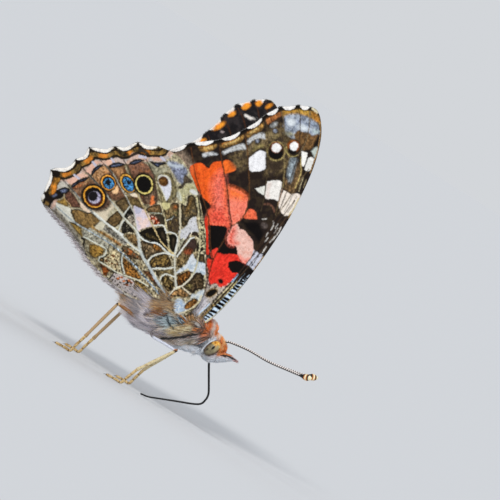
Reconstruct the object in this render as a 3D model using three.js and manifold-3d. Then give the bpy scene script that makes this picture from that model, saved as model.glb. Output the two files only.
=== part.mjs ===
// A painted lady butterfly, life size, standing on the ground with its wings closed over its back.
// Millimetres, +Z up, head towards +X, the animal's left at +Y, ground at Z = 0.
import * as THREE from "three";
import { mergeVertices } from "three/addons/utils/BufferGeometryUtils.js";
import Module from "manifold-3d";

const wasm = await Module();
wasm.setup();

// Driving dimensions
const GAP = 0.3; // between pieces that touch
const RIGHT = -1;
const LEFT = 1;
const BODY_Y = -1.12; // of the body's middle plane, since the left wings reach out further than the right feeler

const WING_HALF_THICKNESS = 0.25;
const VEIN_RISE = 0.12;
const VEIN_HALF_WIDTH = 0.36;
const VEIN_STATION = 1.5;
const WING_FILL_SPACING = 2.1;
const WING_LEAN_DEG = new Map([[RIGHT, 5.5], [LEFT, 17.5]]); // outwards from upright, the left pair more open
const WING_CAMBER = 0.4;
const HINGE_Z = 11.5;
const WING_HEIGHT = 30.5;
const FORE_ROOT_OUT = 1.7; // of the forewing's middle surface, from the body's middle plane
const HIND_OVER_FORE = 1.05; // the hindwing lies outside the forewing
const INNER_FOLD = 1.1; // the hindwing's inner edge curls in under the abdomen
const INNER_FOLD_DEPTH = 2.0;
const LEFT_FORE_BACK_DEG = 12; // the left forewing is drawn back more than the right
const FORE_PIVOT = [4.2, 12];

const ABDOMEN_SLOPE = -0.303;
const ABDOMEN_AXIS_Z0 = 9.92; // height of the abdomen's axis at X = 0
const ABDOMEN_FRONT_X = -1.2;
const ABDOMEN_REAR_X = -12.6;
const ABDOMEN_RADIUS = 1.66;
const ABDOMEN_RINGS = 8;
const RING_NIP = 0.07;

const EYE_CENTRE = [8.08, 1.12, 9.8];
const EYE_RADII = [1.2, 0.86, 0.92]; // long, short, sideways
const EYE_TILT_DEG = 66;

const LIMB_SIDES = 8;
const FEMUR_RADIUS = 0.34;
const TIBIA_RADIUS = 0.27;
const TARSUS_RADIUS = 0.26;
const FLOOR_REACH = 60;

const toRadians = THREE.MathUtils.degToRad;

// Solids

function solidOf(geometry) {
  const bare = geometry.clone();
  bare.deleteAttribute("normal");
  bare.deleteAttribute("uv");
  const merged = mergeVertices(bare, 1e-4);
  return new wasm.Manifold(new wasm.Mesh({
    numProp: 3,
    vertProperties: new Float32Array(merged.attributes.position.array),
    triVerts: new Uint32Array(merged.index.array),
  }));
}

function geometryOf(solid) {
  const mesh = solid.getMesh();
  const geometry = new THREE.BufferGeometry();
  geometry.setAttribute("position", new THREE.BufferAttribute(new Float32Array(mesh.vertProperties), 3));
  geometry.setIndex(new THREE.BufferAttribute(new Uint32Array(mesh.triVerts), 1));
  geometry.computeVertexNormals();
  return geometry;
}

function largestPiece(solid) {
  const pieces = solid.decompose();
  return pieces.reduce((best, piece) => (piece.volume() > best.volume() ? piece : best));
}

function cutClear(solid, ...neighbours) {
  return largestPiece(neighbours.reduce((rest, neighbour) => rest.subtract(neighbour), solid));
}

// The space under the ground, which leaves a small flat on whatever stands on it.
const ground = solidOf(
  new THREE.BoxGeometry(FLOOR_REACH, FLOOR_REACH, 4).translate(0, 0, -2),
);

// A closed body with upright oval sections. A ring is [x, bottom, top, half width].
function loft(rings, sides, steps, grow = 0) {
  const outline = new THREE.CatmullRomCurve3(rings.map(([x, low, high]) => new THREE.Vector3(x, low, high)));
  const breadth = new THREE.CatmullRomCurve3(rings.map(([x, , , half]) => new THREE.Vector3(x, half, 0)));
  const positions = [];
  for (let i = 0; i <= steps; i++) {
    const { x, y: low, z: high } = outline.getPoint(i / steps);
    const half = breadth.getPoint(i / steps).y + grow;
    const upright = (high - low) / 2 + grow;
    for (let k = 0; k < sides; k++) {
      const turn = (2 * Math.PI * k) / sides;
      positions.push(x, half * Math.sin(turn), (low + high) / 2 + upright * Math.cos(turn));
    }
  }
  const endReach = 0.15 + grow;
  const [first, last] = [rings[0], rings[rings.length - 1]];
  const direction = Math.sign(last[0] - first[0]);
  positions.push(first[0] - direction * endReach, 0, (first[1] + first[2]) / 2);
  positions.push(last[0] + direction * endReach, 0, (last[1] + last[2]) / 2);
  return closedTube(positions, sides, steps, direction < 0);
}

// A tube along a smooth path with a radius for each share of its length.
function sweep(path, radiusAt, sides, steps, grow = 0) {
  const curve = new THREE.CatmullRomCurve3(path.map((p) => new THREE.Vector3(...p)), false, "centripetal");
  const frames = curve.computeFrenetFrames(steps, false);
  const positions = [];
  for (let i = 0; i <= steps; i++) {
    const centre = curve.getPointAt(i / steps);
    const radius = radiusAt(i / steps) + grow;
    for (let k = 0; k < sides; k++) {
      const turn = (2 * Math.PI * k) / sides;
      const corner = centre.clone()
        .addScaledVector(frames.normals[i], radius * Math.cos(turn))
        .addScaledVector(frames.binormals[i], radius * Math.sin(turn));
      positions.push(corner.x, corner.y, corner.z);
    }
  }
  const endReach = 0.4;
  const startCap = curve.getPointAt(0)
    .addScaledVector(curve.getTangentAt(0), -(radiusAt(0) + grow) * endReach);
  const endCap = curve.getPointAt(1)
    .addScaledVector(curve.getTangentAt(1), (radiusAt(1) + grow) * endReach);
  positions.push(startCap.x, startCap.y, startCap.z, endCap.x, endCap.y, endCap.z);
  return closedTube(positions, sides, steps, true);
}

// Joins rings of corners, the last two positions being the points that close the ends.
function closedTube(positions, sides, steps, forward) {
  const triangles = [];
  const face = (a, b, c) => triangles.push(...(forward ? [a, b, c] : [a, c, b]));
  const startCap = (steps + 1) * sides;
  for (let k = 0; k < sides; k++) {
    const next = (k + 1) % sides;
    for (let i = 0; i < steps; i++) {
      const a = i * sides + k;
      const b = i * sides + next;
      face(a, b, b + sides);
      face(a, b + sides, a + sides);
    }
    face(startCap, next, k);
    face(startCap + 1, steps * sides + k, steps * sides + next);
  }
  const geometry = new THREE.BufferGeometry();
  geometry.setAttribute("position", new THREE.Float32BufferAttribute(positions, 3));
  geometry.setIndex(triangles);
  return solidOf(geometry);
}

const taper = (from, to) => (share) => from + (to - from) * share;
const mirrored = ([x, y, z], side) => [x, side * y, z];
const onSide = (path, side) => path.map((point) => mirrored(point, side));

// Wing outlines and veins, on the side view of the right wings: points are [x, z].

const curveThrough = (points, count) => new THREE.SplineCurve(
  points.map(([x, z]) => new THREE.Vector2(x, z)),
).getSpacedPoints(count).map(({ x, y }) => [x, y]);

// The outer edge dips a little between the tips of the veins.
function scallops(tips, depth, steps) {
  const edge = [];
  for (let n = 0; n + 1 < tips.length; n++) {
    const [x0, z0] = tips[n];
    const [x1, z1] = tips[n + 1];
    const length = Math.hypot(x1 - x0, z1 - z0);
    for (let s = 0; s < steps; s++) {
      const share = s / steps;
      const dip = (depth * Math.sin(Math.PI * share)) / length;
      edge.push([x0 + (x1 - x0) * share - (z1 - z0) * dip, z0 + (z1 - z0) * share + (x1 - x0) * dip]);
    }
  }
  edge.push(tips[tips.length - 1]);
  return edge;
}

const foreTips = [
  [2.7, 42.05], [1.15, 41.4], [-0.7, 40.0], [-1.8, 38.05], [-3.05, 35.15], [-5.1, 32.4], [-7.85, 30.2],
  [-9.9, 27.7],
];
const forewing = {
  layer: 0,
  outline: [
    ...curveThrough([[5.0, 11.3], [5.9, 12.6], [6.7, 15.6], [7.25, 19.5], [7.6, 24.5], [7.65, 29], [7.3, 33.3],
      [6.7, 36.6], [5.7, 39.5], [4.5, 41.3], [3.5, 42.05], foreTips[0]], 32).slice(0, -1),
    ...scallops(foreTips, 0.16, 3),
    ...curveThrough([foreTips[7], [-8.6, 25.5], [-5.2, 21.4], [-1.6, 17.2], [1.2, 13.9], [3.0, 11.4]], 20)
      .slice(1),
  ],
  veins: {
    subcosta: [[4.9, 12.4], [5.5, 15], [6.1, 18.4], [6.7, 22.5], [7.1, 26], [7.3, 28.6]],
    radius1: [[4.6, 12.3], [5.2, 15.4], [5.75, 18.6], [6.2, 22], [6.6, 26], [7.05, 31]],
    radius5: [[6.2, 22.4], [6.2, 25.5], [6.15, 28.4], [5.6, 31.6], [5.0, 33.9], [4.4, 36.2], [3.3, 38.3],
      [2.1, 40.3], [1.4, 41.0]],
    radius4: [[4.5, 36.0], [4.3, 38.3], [3.6, 40.1], [2.8, 41.5]],
    radius2: [[6.2, 28.6], [6.35, 31.5], [6.35, 33.4], [6.5, 35.3]],
    media1: [[6.0, 28.2], [5.2, 30.4], [4.3, 32.8], [3.2, 34.7], [2.2, 36.3], [0.9, 38.4], [-0.3, 39.6]],
    media2: [[4.2, 27.6], [3.6, 29.4], [2.7, 31.4], [1.9, 33.1], [1.0, 34.5], [-0.2, 36.3], [-1.4, 37.7]],
    media3: [[2.05, 24.1], [2.55, 25.3], [2.55, 26.8], [2.0, 28.3], [1.2, 29.7], [0.1, 31.3], [-1.0, 32.9],
      [-2.6, 34.8]],
    cubitus1: [[3.6, 13], [3.4, 15.6], [2.7, 17.8], [2.25, 19.6], [2.15, 21.8], [2.05, 24.1], [0.9, 25.5],
      [-1.2, 28.2], [-3.2, 30.3], [-4.7, 32.0]],
    cubitus2: [[2.3, 19.3], [1.0, 20.7], [-0.9, 23.4], [-3.4, 25.6], [-5.4, 27.4], [-7.4, 29.7]],
    anal: [[3.2, 12.6], [1.0, 15.4], [-2.6, 19.6], [-6.2, 23.6], [-9.1, 27.0]],
  },
};

const hindTips = [
  [-9.5, 27.85], [-10.9, 27.75], [-13.4, 26.8], [-15.5, 24.9], [-18.25, 23.05], [-18.9, 20.85],
  [-20.9, 18.05], [-20.1, 14.5],
];
const hindwing = {
  layer: 1,
  outline: [
    ...curveThrough([[2.7, 10.5], [3.3, 12.2], [3.72, 14.2], [3.1, 16.4], [1.7, 18.6], [-0.2, 21.7],
      [-2.6, 24.4], [-4.6, 26.2], [-6.6, 27.5], hindTips[0]], 24).slice(0, -1),
    ...scallops(hindTips, 0.32, 4),
    ...curveThrough([hindTips[7], [-18.6, 13.45], [-16.5, 12.95], [-14.2, 12.2], [-12.3, 11.0], [-10.2, 10.3],
      [-8, 9.85], [-5, 9.5], [-3.4, 10.1], [-1.9, 10.9]], 18).slice(1),
    [-0.8, 10.8], [0.4, 10.3], [1.6, 10.2],
  ],
  veins: {
    subcosta: [[0.3, 13.7], [0.85, 14.8], [1.15, 16.2], [0.9, 17.6], [0.2, 19.3], [-0.9, 21.4], [-2.2, 23.3],
      [-3.3, 24.7]],
    humeral: [[0.8, 14.4], [1.6, 14.15], [2.6, 14.1]],
    radius: [[0.9, 12.4], [0.2, 13.8], [-0.9, 15.5], [-2.0, 17.3], [-2.7, 19.5], [-3.9, 21.6], [-4.9, 23.2],
      [-6.3, 24.8], [-8.4, 26.4], [-10.4, 27.3]],
    media1: [[-2.1, 17.4], [-3.1, 18.0], [-4.3, 19.3], [-5.8, 20.7], [-7.1, 21.9], [-8.9, 23.7], [-10.9, 25.2],
      [-13.0, 26.5]],
    media2: [[-2.3, 17.3], [-4.4, 17.8], [-6.2, 18.9], [-8.0, 20.0], [-10.1, 21.3], [-12.0, 22.9], [-13.5, 23.8],
      [-15.2, 24.6]],
    media3: [[-7.5, 17.2], [-8.9, 18.8], [-10.5, 19.8], [-12.5, 21.0], [-14.6, 21.95], [-16.4, 22.4],
      [-17.8, 22.8]],
    cubitus1: [[-7.5, 17.2], [-9.3, 17.75], [-12.0, 18.6], [-15.0, 19.65], [-18.5, 20.75]],
    cubitus2: [[-5.9, 15.3], [-8.5, 15.6], [-11.5, 16.05], [-14.4, 16.6], [-17.0, 17.3], [-20.4, 18.0]],
    cubitalStem: [[0.2, 12.0], [-1.8, 13.1], [-4.2, 14.3], [-5.9, 15.3], [-7.5, 17.2]],
    anal2: [[-1.0, 12.0], [-4.0, 12.95], [-7.2, 13.8], [-11, 14.15], [-15, 14.1], [-19.5, 14.75]],
    anal3: [[-2.9, 12.1], [-5.6, 11.85], [-9.0, 11.4], [-12.6, 11.6]],
  },
};

const abdomenAxisZ = (x) => ABDOMEN_AXIS_Z0 + ABDOMEN_SLOPE * x;

// The place of a point of a wing's chart, lifted off the wing's middle surface. The chart is the wing as seen from the
// side at the right pair's lean.
function onWing(x, z, lift, layer, side) {
  const share = THREE.MathUtils.clamp((z - HINGE_Z) / WING_HEIGHT, 0, 1);
  const below = THREE.MathUtils.clamp((abdomenAxisZ(x) - z) / INNER_FOLD_DEPTH, 0, 1);
  const behindThorax = THREE.MathUtils.smoothstep(-x, 2.5, 4.5);
  const up = (z - HINGE_Z) / Math.cos(toRadians(WING_LEAN_DEG.get(RIGHT)));
  const lean = toRadians(WING_LEAN_DEG.get(side));
  const out = FORE_ROOT_OUT + layer * HIND_OVER_FORE + up * Math.sin(lean) + WING_CAMBER * Math.sin(Math.PI * share)
    - layer * INNER_FOLD * below * below * behindThorax;
  return [x, side * (out + lift), HINGE_Z + up * Math.cos(lean)];
}

// The flat chart of one wing: its points, each with the rise of a vein, and its triangles.
function wingChart({ outline, veins }) {
  const points = [];
  const nearest = (x, z, from = 0) => {
    let best = Infinity;
    for (let n = from; n < points.length; n++) {
      best = Math.min(best, Math.hypot(points[n].x - x, points[n].z - z));
    }
    return best;
  };
  const inside = (x, z) => {
    let odd = false;
    for (let i = 0, j = outline.length - 1; i < outline.length; j = i++) {
      const [xi, zi] = outline[i];
      const [xj, zj] = outline[j];
      if (zi > z !== zj > z && x < ((xj - xi) * (z - zi)) / (zj - zi) + xi) odd = !odd;
    }
    return odd;
  };
  const add = (x, z, rise, clearance) => {
    if (inside(x, z) && nearest(x, z) > clearance) points.push({ x, z, rise });
  };
  for (const [x, z] of outline) points.push({ x, z, rise: 0 });

  const stations = [];
  for (const vein of Object.values(veins)) {
    const curve = new THREE.SplineCurve(vein.map(([x, z]) => new THREE.Vector2(x, z)));
    const count = Math.max(2, Math.round(curve.getLength() / VEIN_STATION));
    for (let s = 0; s <= count; s++) {
      const at = curve.getPointAt(s / count);
      const along = curve.getTangentAt(s / count);
      stations.push([at, along]);
    }
  }
  for (const [at] of stations) add(at.x, at.y, VEIN_RISE, 0.55);
  for (const [at, along] of stations) {
    for (const side of [-VEIN_HALF_WIDTH, VEIN_HALF_WIDTH]) {
      add(at.x - along.y * side, at.y + along.x * side, 0, VEIN_HALF_WIDTH * 0.85);
    }
  }
  const rows = WING_FILL_SPACING * Math.sin(Math.PI / 3);
  const [lowX, highX] = [Math.min(...outline.map((p) => p[0])), Math.max(...outline.map((p) => p[0]))];
  const [lowZ, highZ] = [Math.min(...outline.map((p) => p[1])), Math.max(...outline.map((p) => p[1]))];
  for (let row = 0; lowZ + row * rows < highZ; row++) {
    for (let x = lowX + (row % 2) * (WING_FILL_SPACING / 2); x < highX; x += WING_FILL_SPACING) {
      add(x, lowZ + row * rows, 0, 1.0);
    }
  }
  const triangles = delaunay(points).filter(([a, b, c]) => inside(
    (points[a].x + points[b].x + points[c].x) / 3,
    (points[a].z + points[b].z + points[c].z) / 3,
  ));
  return { points, triangles };
}

// Delaunay triangles by adding one point at a time. Each keeps its corners counter-clockwise.
function delaunay(points) {
  const nudge = (n) => 1e-4 * Math.sin(12.9898 * (n + 1));
  const at = points.map((p, n) => [p.x + nudge(n), p.z + nudge(n + 0.5)]);
  const far = 1000;
  at.push([-far, -far], [far, -far], [0, far]);
  const circle = (a, b, c) => {
    const [ax, ay] = at[a];
    const [bx, by] = [at[b][0] - ax, at[b][1] - ay];
    const [cx, cy] = [at[c][0] - ax, at[c][1] - ay];
    const d = 2 * (bx * cy - by * cx);
    const ux = (cy * (bx * bx + by * by) - by * (cx * cx + cy * cy)) / d;
    const uy = (bx * (cx * cx + cy * cy) - cx * (bx * bx + by * by)) / d;
    return { corners: [a, b, c], x: ax + ux, y: ay + uy, squared: ux * ux + uy * uy };
  };
  const n = points.length;
  let cells = [circle(n, n + 1, n + 2)];
  for (let p = 0; p < n; p++) {
    const [x, y] = at[p];
    const open = new Map();
    const kept = [];
    for (const cell of cells) {
      if ((cell.x - x) ** 2 + (cell.y - y) ** 2 >= cell.squared) {
        kept.push(cell);
        continue;
      }
      for (let k = 0; k < 3; k++) {
        const [from, to] = [cell.corners[k], cell.corners[(k + 1) % 3]];
        if (!open.delete(`${to},${from}`)) open.set(`${from},${to}`, [from, to]);
      }
    }
    for (const [from, to] of open.values()) kept.push(circle(from, to, p));
    cells = kept;
  }
  return cells.map((cell) => cell.corners).filter((corners) => corners.every((corner) => corner < n));
}

// A wing's closed solid, both faces made of the same triangles and the edge closed between them.
function wingSolid(form, side, backDeg = 0) {
  const { points, triangles } = wingChart(form);
  const turn = toRadians(backDeg);
  const positions = [];
  for (const face of [1, -1]) {
    for (const { x, z, rise } of points) {
      const [dx, dz] = [x - FORE_PIVOT[0], z - FORE_PIVOT[1]];
      const turnedX = FORE_PIVOT[0] + dx * Math.cos(turn) - dz * Math.sin(turn);
      const turnedZ = FORE_PIVOT[1] + dx * Math.sin(turn) + dz * Math.cos(turn);
      positions.push(...onWing(turnedX, turnedZ, face * (WING_HALF_THICKNESS + rise), form.layer, side));
    }
  }
  const count = points.length;
  const rim = new Map();
  const indices = [];
  const put = (a, b, c) => indices.push(...(side === RIGHT ? [a, b, c] : [a, c, b]));
  for (const [a, b, c] of triangles) {
    put(a, b, c);
    put(a + count, c + count, b + count);
    for (const [from, to] of [[a, b], [b, c], [c, a]]) {
      if (!rim.delete(`${to},${from}`)) rim.set(`${from},${to}`, [from, to]);
    }
  }
  for (const [from, to] of rim.values()) {
    put(to, from, from + count);
    put(to, from + count, to + count);
  }
  const geometry = new THREE.BufferGeometry();
  geometry.setAttribute("position", new THREE.Float32BufferAttribute(positions, 3));
  geometry.setIndex(indices);
  return solidOf(geometry);
}

// Body

// Rings from the waist to the neck, the furry collar last: [x, bottom, top, half width].
const thoraxRings = [
  [-3.45, 8.6, 10.9, 0.8], [-3.0, 8.0, 11.45, 1.55], [-2.0, 7.4, 12.1, 2.25], [-0.5, 7.1, 12.55, 2.75],
  [1.0, 7.05, 12.75, 3.0], [2.8, 7.2, 12.8, 2.95], [4.3, 7.7, 12.75, 2.65], [5.4, 8.5, 12.7, 2.2],
  [6.2, 9.2, 12.85, 1.85], [6.75, 9.8, 12.7, 1.5], [7.05, 10.4, 12.3, 1.0],
];
const thoraxForm = (grow) => loft(thoraxRings, 20, 18, grow);

// Rings from the nape to the face: [x, bottom, top, half width].
const headRings = [
  [6.85, 8.9, 10.6, 0.6], [7.15, 8.25, 11.5, 1.25], [7.7, 8.0, 11.95, 1.65], [8.3, 7.95, 11.95, 1.75],
  [8.9, 8.2, 11.65, 1.55], [9.4, 8.75, 11.2, 1.15], [9.75, 9.3, 10.7, 0.6],
];
const headForm = (grow) => loft(headRings, 16, 11, grow);

function abdomenSolid() {
  const steps = ABDOMEN_RINGS * 3;
  const path = [];
  for (let n = 0; n <= 4; n++) {
    const x = ABDOMEN_FRONT_X + ((ABDOMEN_REAR_X - ABDOMEN_FRONT_X) * n) / 4;
    path.push([x, 0, abdomenAxisZ(x)]);
  }
  const radiusAt = (share) => {
    const body = ABDOMEN_RADIUS * Math.sqrt(Math.max(0.05, 1 - Math.max(0, (share - 0.3) / 0.72) ** 2.2));
    return body - RING_NIP * (1 - Math.abs(Math.sin(Math.PI * share * ABDOMEN_RINGS)));
  };
  return sweep(path, radiusAt, 16, steps);
}

function eyeSolid(side, grow = 0) {
  const [long, short, sideways] = EYE_RADII.map((radius) => radius + grow);
  const ball = new THREE.SphereGeometry(1, 14, 9).scale(long, sideways, short);
  ball.rotateY(-toRadians(EYE_TILT_DEG));
  ball.translate(...mirrored(EYE_CENTRE, side));
  return solidOf(ball);
}

const palpPath = [[8.5, 0.45, 8.7], [9.4, 0.55, 9.0], [10.4, 0.45, 9.65], [11.6, 0.25, 10.02]];
const palpSolid = (side) => sweep(onSide(palpPath, side), (share) => 0.46 - 0.3 * share ** 1.6, 8, 8);

// The folded brush foot lies along the lower front of the thorax.
const forelegPath = [[7.2, 1.0, 8.75], [5.6, 1.25, 8.3], [3.8, 1.3, 7.9], [1.9, 1.2, 7.45]];
const forelegRadius = (share) => 0.3 + 0.4 * Math.sin(Math.PI * (0.12 + 0.83 * share));
const forelegSolid = (side, grow = 0) => sweep(onSide(forelegPath, side), forelegRadius, 10, 10, grow);

// Feeding tube: down from the chin, round the elbow and back to the ground.
const elbow = [10.68, 0, 4.1];
const proboscisUpperPath = [[8.45, 0, 8.7], [8.95, 0, 7.7], [9.9, 0, 6.1], [10.5, 0, 4.9], elbow];
const proboscisLowerPath = [
  elbow, [10.45, 0, 3.2], [9.6, 0, 2.6], [7.6, 0, 1.75], [5.4, 0, 0.8], [4.3, 0, 0.3], [3.3, 0, 0.2],
];

const antennaPath = [
  [9.0, 0.7, 11.3], [9.6, 1.1, 11.6], [12, 2.7, 12.05], [15, 4.75, 12.25], [18, 6.75, 12.75],
  [19.6, 7.85, 13.05], [20.75, 8.55, 13.4],
];
const antennaRadius = (share) => 0.25 + 0.19 * Math.exp(-(((share - 0.95) / 0.045) ** 2))
  - 0.12 * THREE.MathUtils.smoothstep(share, 0.97, 1);

// Walking legs: root inside the thorax, knee, ankle, and the foot's touch and toe on the ground.
const legs = {
  midleg_right: {
    side: RIGHT, root: [0.5, 1.8, 8.6], bend: [1.0, 2.2, 7.45], knee: [4.4, 3.5, 7.2],
    ankle: [1.6, 4.7, 2.7], touch: [0.75, 5.0, 0.3], toe: [-1.3, 5.6, 0.2],
  },
  midleg_left: {
    side: LEFT, root: [0.5, 1.8, 8.6], bend: [0.9, 2.2, 7.45], knee: [4.1, 3.6, 7.1],
    ankle: [1.8, 4.8, 2.8], touch: [1.1, 5.1, 0.3], toe: [-0.8, 5.7, 0.2],
  },
  hindleg_right: {
    side: RIGHT, root: [-0.9, 1.3, 8.9], bend: [-2.2, 1.8, 8.15], knee: [-4.9, 3.1, 8.35],
    ankle: [-6.1, 4.8, 2.8], touch: [-6.75, 5.15, 0.3], toe: [-8.8, 5.6, 0.2],
  },
  hindleg_left: {
    side: LEFT, root: [-0.9, 1.3, 8.9], bend: [-1.9, 1.8, 8.05], knee: [-4.2, 3.2, 8.1],
    ankle: [-5.7, 4.8, 2.7], touch: [-6.4, 5.15, 0.3], toe: [-8.4, 5.7, 0.2],
  },
};

function legPaths({ side, root, bend, knee, ankle, touch, toe }) {
  const between = (a, b, share) => a.map((value, n) => value + (b[n] - value) * share);
  return {
    femur: [root, bend, between(bend, knee, 0.5), knee],
    tibia: [knee, between(knee, ankle, 0.5), ankle],
    tarsus: [ankle, between(ankle, touch, 0.6), touch, between(touch, toe, 0.35), toe],
  };
}

// Cuts: each piece is cut clear of the piece that it grows from.

const thoraxClear = thoraxForm(GAP);
const headClear = headForm(GAP);
const sides = { right: RIGHT, left: LEFT };
const solids = {};

solids.thorax = cutClear(thoraxForm(0), forelegSolid(RIGHT, GAP), forelegSolid(LEFT, GAP));
solids.head = cutClear(headForm(0), thoraxClear, eyeSolid(RIGHT, GAP), eyeSolid(LEFT, GAP));
solids.abdomen = cutClear(abdomenSolid(), thoraxClear);
solids.proboscis_upper = cutClear(sweep(proboscisUpperPath, () => 0.25, LIMB_SIDES, 12), headClear);
solids.proboscis_lower = cutClear(
  sweep(proboscisLowerPath, () => 0.25, LIMB_SIDES, 18),
  sweep(proboscisUpperPath, () => 0.25, LIMB_SIDES, 12, GAP),
  ground,
);
for (const [name, side] of Object.entries(sides)) {
  solids[`eye_${name}`] = eyeSolid(side);
  solids[`palp_${name}`] = cutClear(palpSolid(side), headClear);
  solids[`antenna_${name}`] = cutClear(
    sweep(onSide(antennaPath, side), antennaRadius, LIMB_SIDES, 22), headClear,
  );
  solids[`foreleg_${name}`] = cutClear(forelegSolid(side), headClear);
  solids[`forewing_${name}`] = cutClear(
    wingSolid(forewing, side, side === LEFT ? LEFT_FORE_BACK_DEG : 0), thoraxClear,
  );
  solids[`hindwing_${name}`] = cutClear(wingSolid(hindwing, side), thoraxClear);
}
for (const [name, leg] of Object.entries(legs)) {
  const { femur, tibia, tarsus } = legPaths(leg);
  const femurRadius = taper(FEMUR_RADIUS, FEMUR_RADIUS * 0.85);
  const tibiaRadius = taper(TIBIA_RADIUS * 1.1, TIBIA_RADIUS);
  const femurPath = onSide(femur, leg.side);
  const tibiaPath = onSide(tibia, leg.side);
  solids[`${name}_femur`] = cutClear(sweep(femurPath, femurRadius, LIMB_SIDES, 8), thoraxClear);
  solids[`${name}_tibia`] = cutClear(
    sweep(tibiaPath, tibiaRadius, LIMB_SIDES, 6), sweep(femurPath, femurRadius, LIMB_SIDES, 8, GAP),
  );
  solids[`${name}_tarsus`] = cutClear(
    sweep(onSide(tarsus, leg.side), taper(TARSUS_RADIUS, TARSUS_RADIUS), LIMB_SIDES, 12),
    sweep(tibiaPath, tibiaRadius, LIMB_SIDES, 6, GAP),
    ground,
  );
}

// Finishes

const finish = (color, roughness) => new THREE.MeshStandardMaterial({ color, roughness, metalness: 0 });
const greyFur = finish(0xa89c90, 0.9);
const orangeFur = finish(0xc07a45, 0.9);
const orangeWing = finish(0xd9683e, 0.8);
const marbledWing = finish(0x8f8468, 0.8);
const eyeGlass = finish(0x6b5f3a, 0.3);
const blackHorn = finish(0x17181a, 0.4);
const ringedFeeler = finish(0x6e6460, 0.6);
const paleLeg = finish(0xc9b78f, 0.6);

const finishes = [
  [/^thorax|^abdomen|^foreleg/, greyFur],
  [/^head|^palp/, orangeFur],
  [/^eye/, eyeGlass],
  [/^proboscis/, blackHorn],
  [/^antenna/, ringedFeeler],
  [/^forewing/, orangeWing],
  [/^hindwing/, marbledWing],
  [/^midleg|^hindleg/, paleLeg],
];

const butterfly = new THREE.Group();
for (const [name, solid] of Object.entries(solids)) {
  const [, material] = finishes.find(([pattern]) => pattern.test(name));
  const mesh = new THREE.Mesh(geometryOf(solid.translate([0, BODY_Y, 0])), material);
  mesh.name = name;
  butterfly.add(mesh);
}

export default butterfly;
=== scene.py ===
import bpy
import numpy as np
from mathutils import Matrix, Vector
from mathutils.geometry import delaunay_2d_cdt


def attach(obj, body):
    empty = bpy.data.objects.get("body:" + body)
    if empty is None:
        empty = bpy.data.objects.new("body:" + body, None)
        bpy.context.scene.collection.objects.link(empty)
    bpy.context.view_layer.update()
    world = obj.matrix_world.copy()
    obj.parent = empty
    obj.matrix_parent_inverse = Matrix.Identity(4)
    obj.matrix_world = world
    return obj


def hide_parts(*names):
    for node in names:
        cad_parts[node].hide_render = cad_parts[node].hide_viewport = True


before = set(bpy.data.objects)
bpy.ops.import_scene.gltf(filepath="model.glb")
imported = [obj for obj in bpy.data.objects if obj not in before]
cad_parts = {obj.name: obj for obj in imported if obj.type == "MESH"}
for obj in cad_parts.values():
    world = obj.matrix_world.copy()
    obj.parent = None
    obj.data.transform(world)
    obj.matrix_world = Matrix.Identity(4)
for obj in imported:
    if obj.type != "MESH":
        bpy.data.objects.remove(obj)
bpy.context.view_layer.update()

# Shared helpers for paint, shapes and finishes
MM = 0.001
SIDES = {"right": -1, "left": 1}
BODY_Y = -1.12  # of the middle plane of the body
ROOT = (2.0, 12.0)  # of the wings, where their veins meet, as seen from the side
SCATTER = (127.1, 311.7, 74.7)  # for a corner's column, row and seed, uneven so that no pattern shows
SCATTER_GAIN = 43758.5453
SEED_SHIFT = (17.3, -9.1)  # in lumps, from one seed to the next


def smooth_step(value, start, end):
    share = np.clip((value - start) / (end - start), 0, 1)
    return share * share * (3 - 2 * share)


def shade(code):
    """A screen colour written as six hex digits, as linear red, green and blue."""
    channels = np.array([int(code[n:n + 2], 16) for n in (0, 2, 4)]) / 255.0
    return np.where(channels <= 0.04045, channels / 12.92, ((channels + 0.055) / 1.055) ** 2.4)


def mottle(x, z, lump, seed):
    """Smooth random values from 0 to 1 in lumps about this many millimetres across."""
    u, v = x / lump + SEED_SHIFT[0] * seed, z / lump + SEED_SHIFT[1] * seed
    i, j = np.floor(u), np.floor(v)
    a, b = u - i, v - j
    a, b = a * a * (3 - 2 * a), b * b * (3 - 2 * b)

    def corner(p, q):
        value = np.sin(p * SCATTER[0] + q * SCATTER[1] + seed * SCATTER[2]) * SCATTER_GAIN
        return value - np.floor(value)

    low = corner(i, j) * (1 - a) + corner(i + 1, j) * a
    high = corner(i, j + 1) * (1 - a) + corner(i + 1, j + 1) * a
    return low * (1 - b) + high * b


def flowing(points, closed=False, step=0.12):
    """A smooth line through given points, as many short steps."""
    points = np.array(points, float)
    if closed:
        padded = np.vstack([points[-1], points, points[0], points[1]])
    else:
        padded = np.vstack([2 * points[0] - points[1], points, 2 * points[-1] - points[-2]])
    line = []
    for n in range(1, len(padded) - 2):
        before, start, end, after = padded[n - 1:n + 3]
        count = max(1, int(np.ceil(np.linalg.norm(end - start) / step)))
        t = (np.arange(count) / count)[:, None]
        bend = 2 * before - 5 * start + 4 * end - after
        twist = 3 * start - before - 3 * end + after
        line.append(0.5 * (2 * start + (end - before) * t + bend * t ** 2 + twist * t ** 3))
    if not closed:
        line.append(points[-1:])
    return np.vstack(line)


def to_line(x, z, line):
    """Each place's distance from a line, and how far along the line its nearest point is, from 0 to 1."""
    start, leg = line[:-1], np.diff(line, axis=0)
    length = np.maximum(np.linalg.norm(leg, axis=1), 1e-9)
    total = np.concatenate([[0], np.cumsum(length)])
    nearest, along = np.full(x.shape, np.inf), np.zeros(x.shape)
    for n in range(len(leg)):
        t = np.clip(((x - start[n, 0]) * leg[n, 0] + (z - start[n, 1]) * leg[n, 1]) / length[n] ** 2, 0, 1)
        away = np.hypot(x - start[n, 0] - t * leg[n, 0], z - start[n, 1] - t * leg[n, 1])
        closer = away < nearest
        nearest = np.where(closer, away, nearest)
        along = np.where(closer, (total[n] + t * length[n]) / total[-1], along)
    return nearest, along


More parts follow.
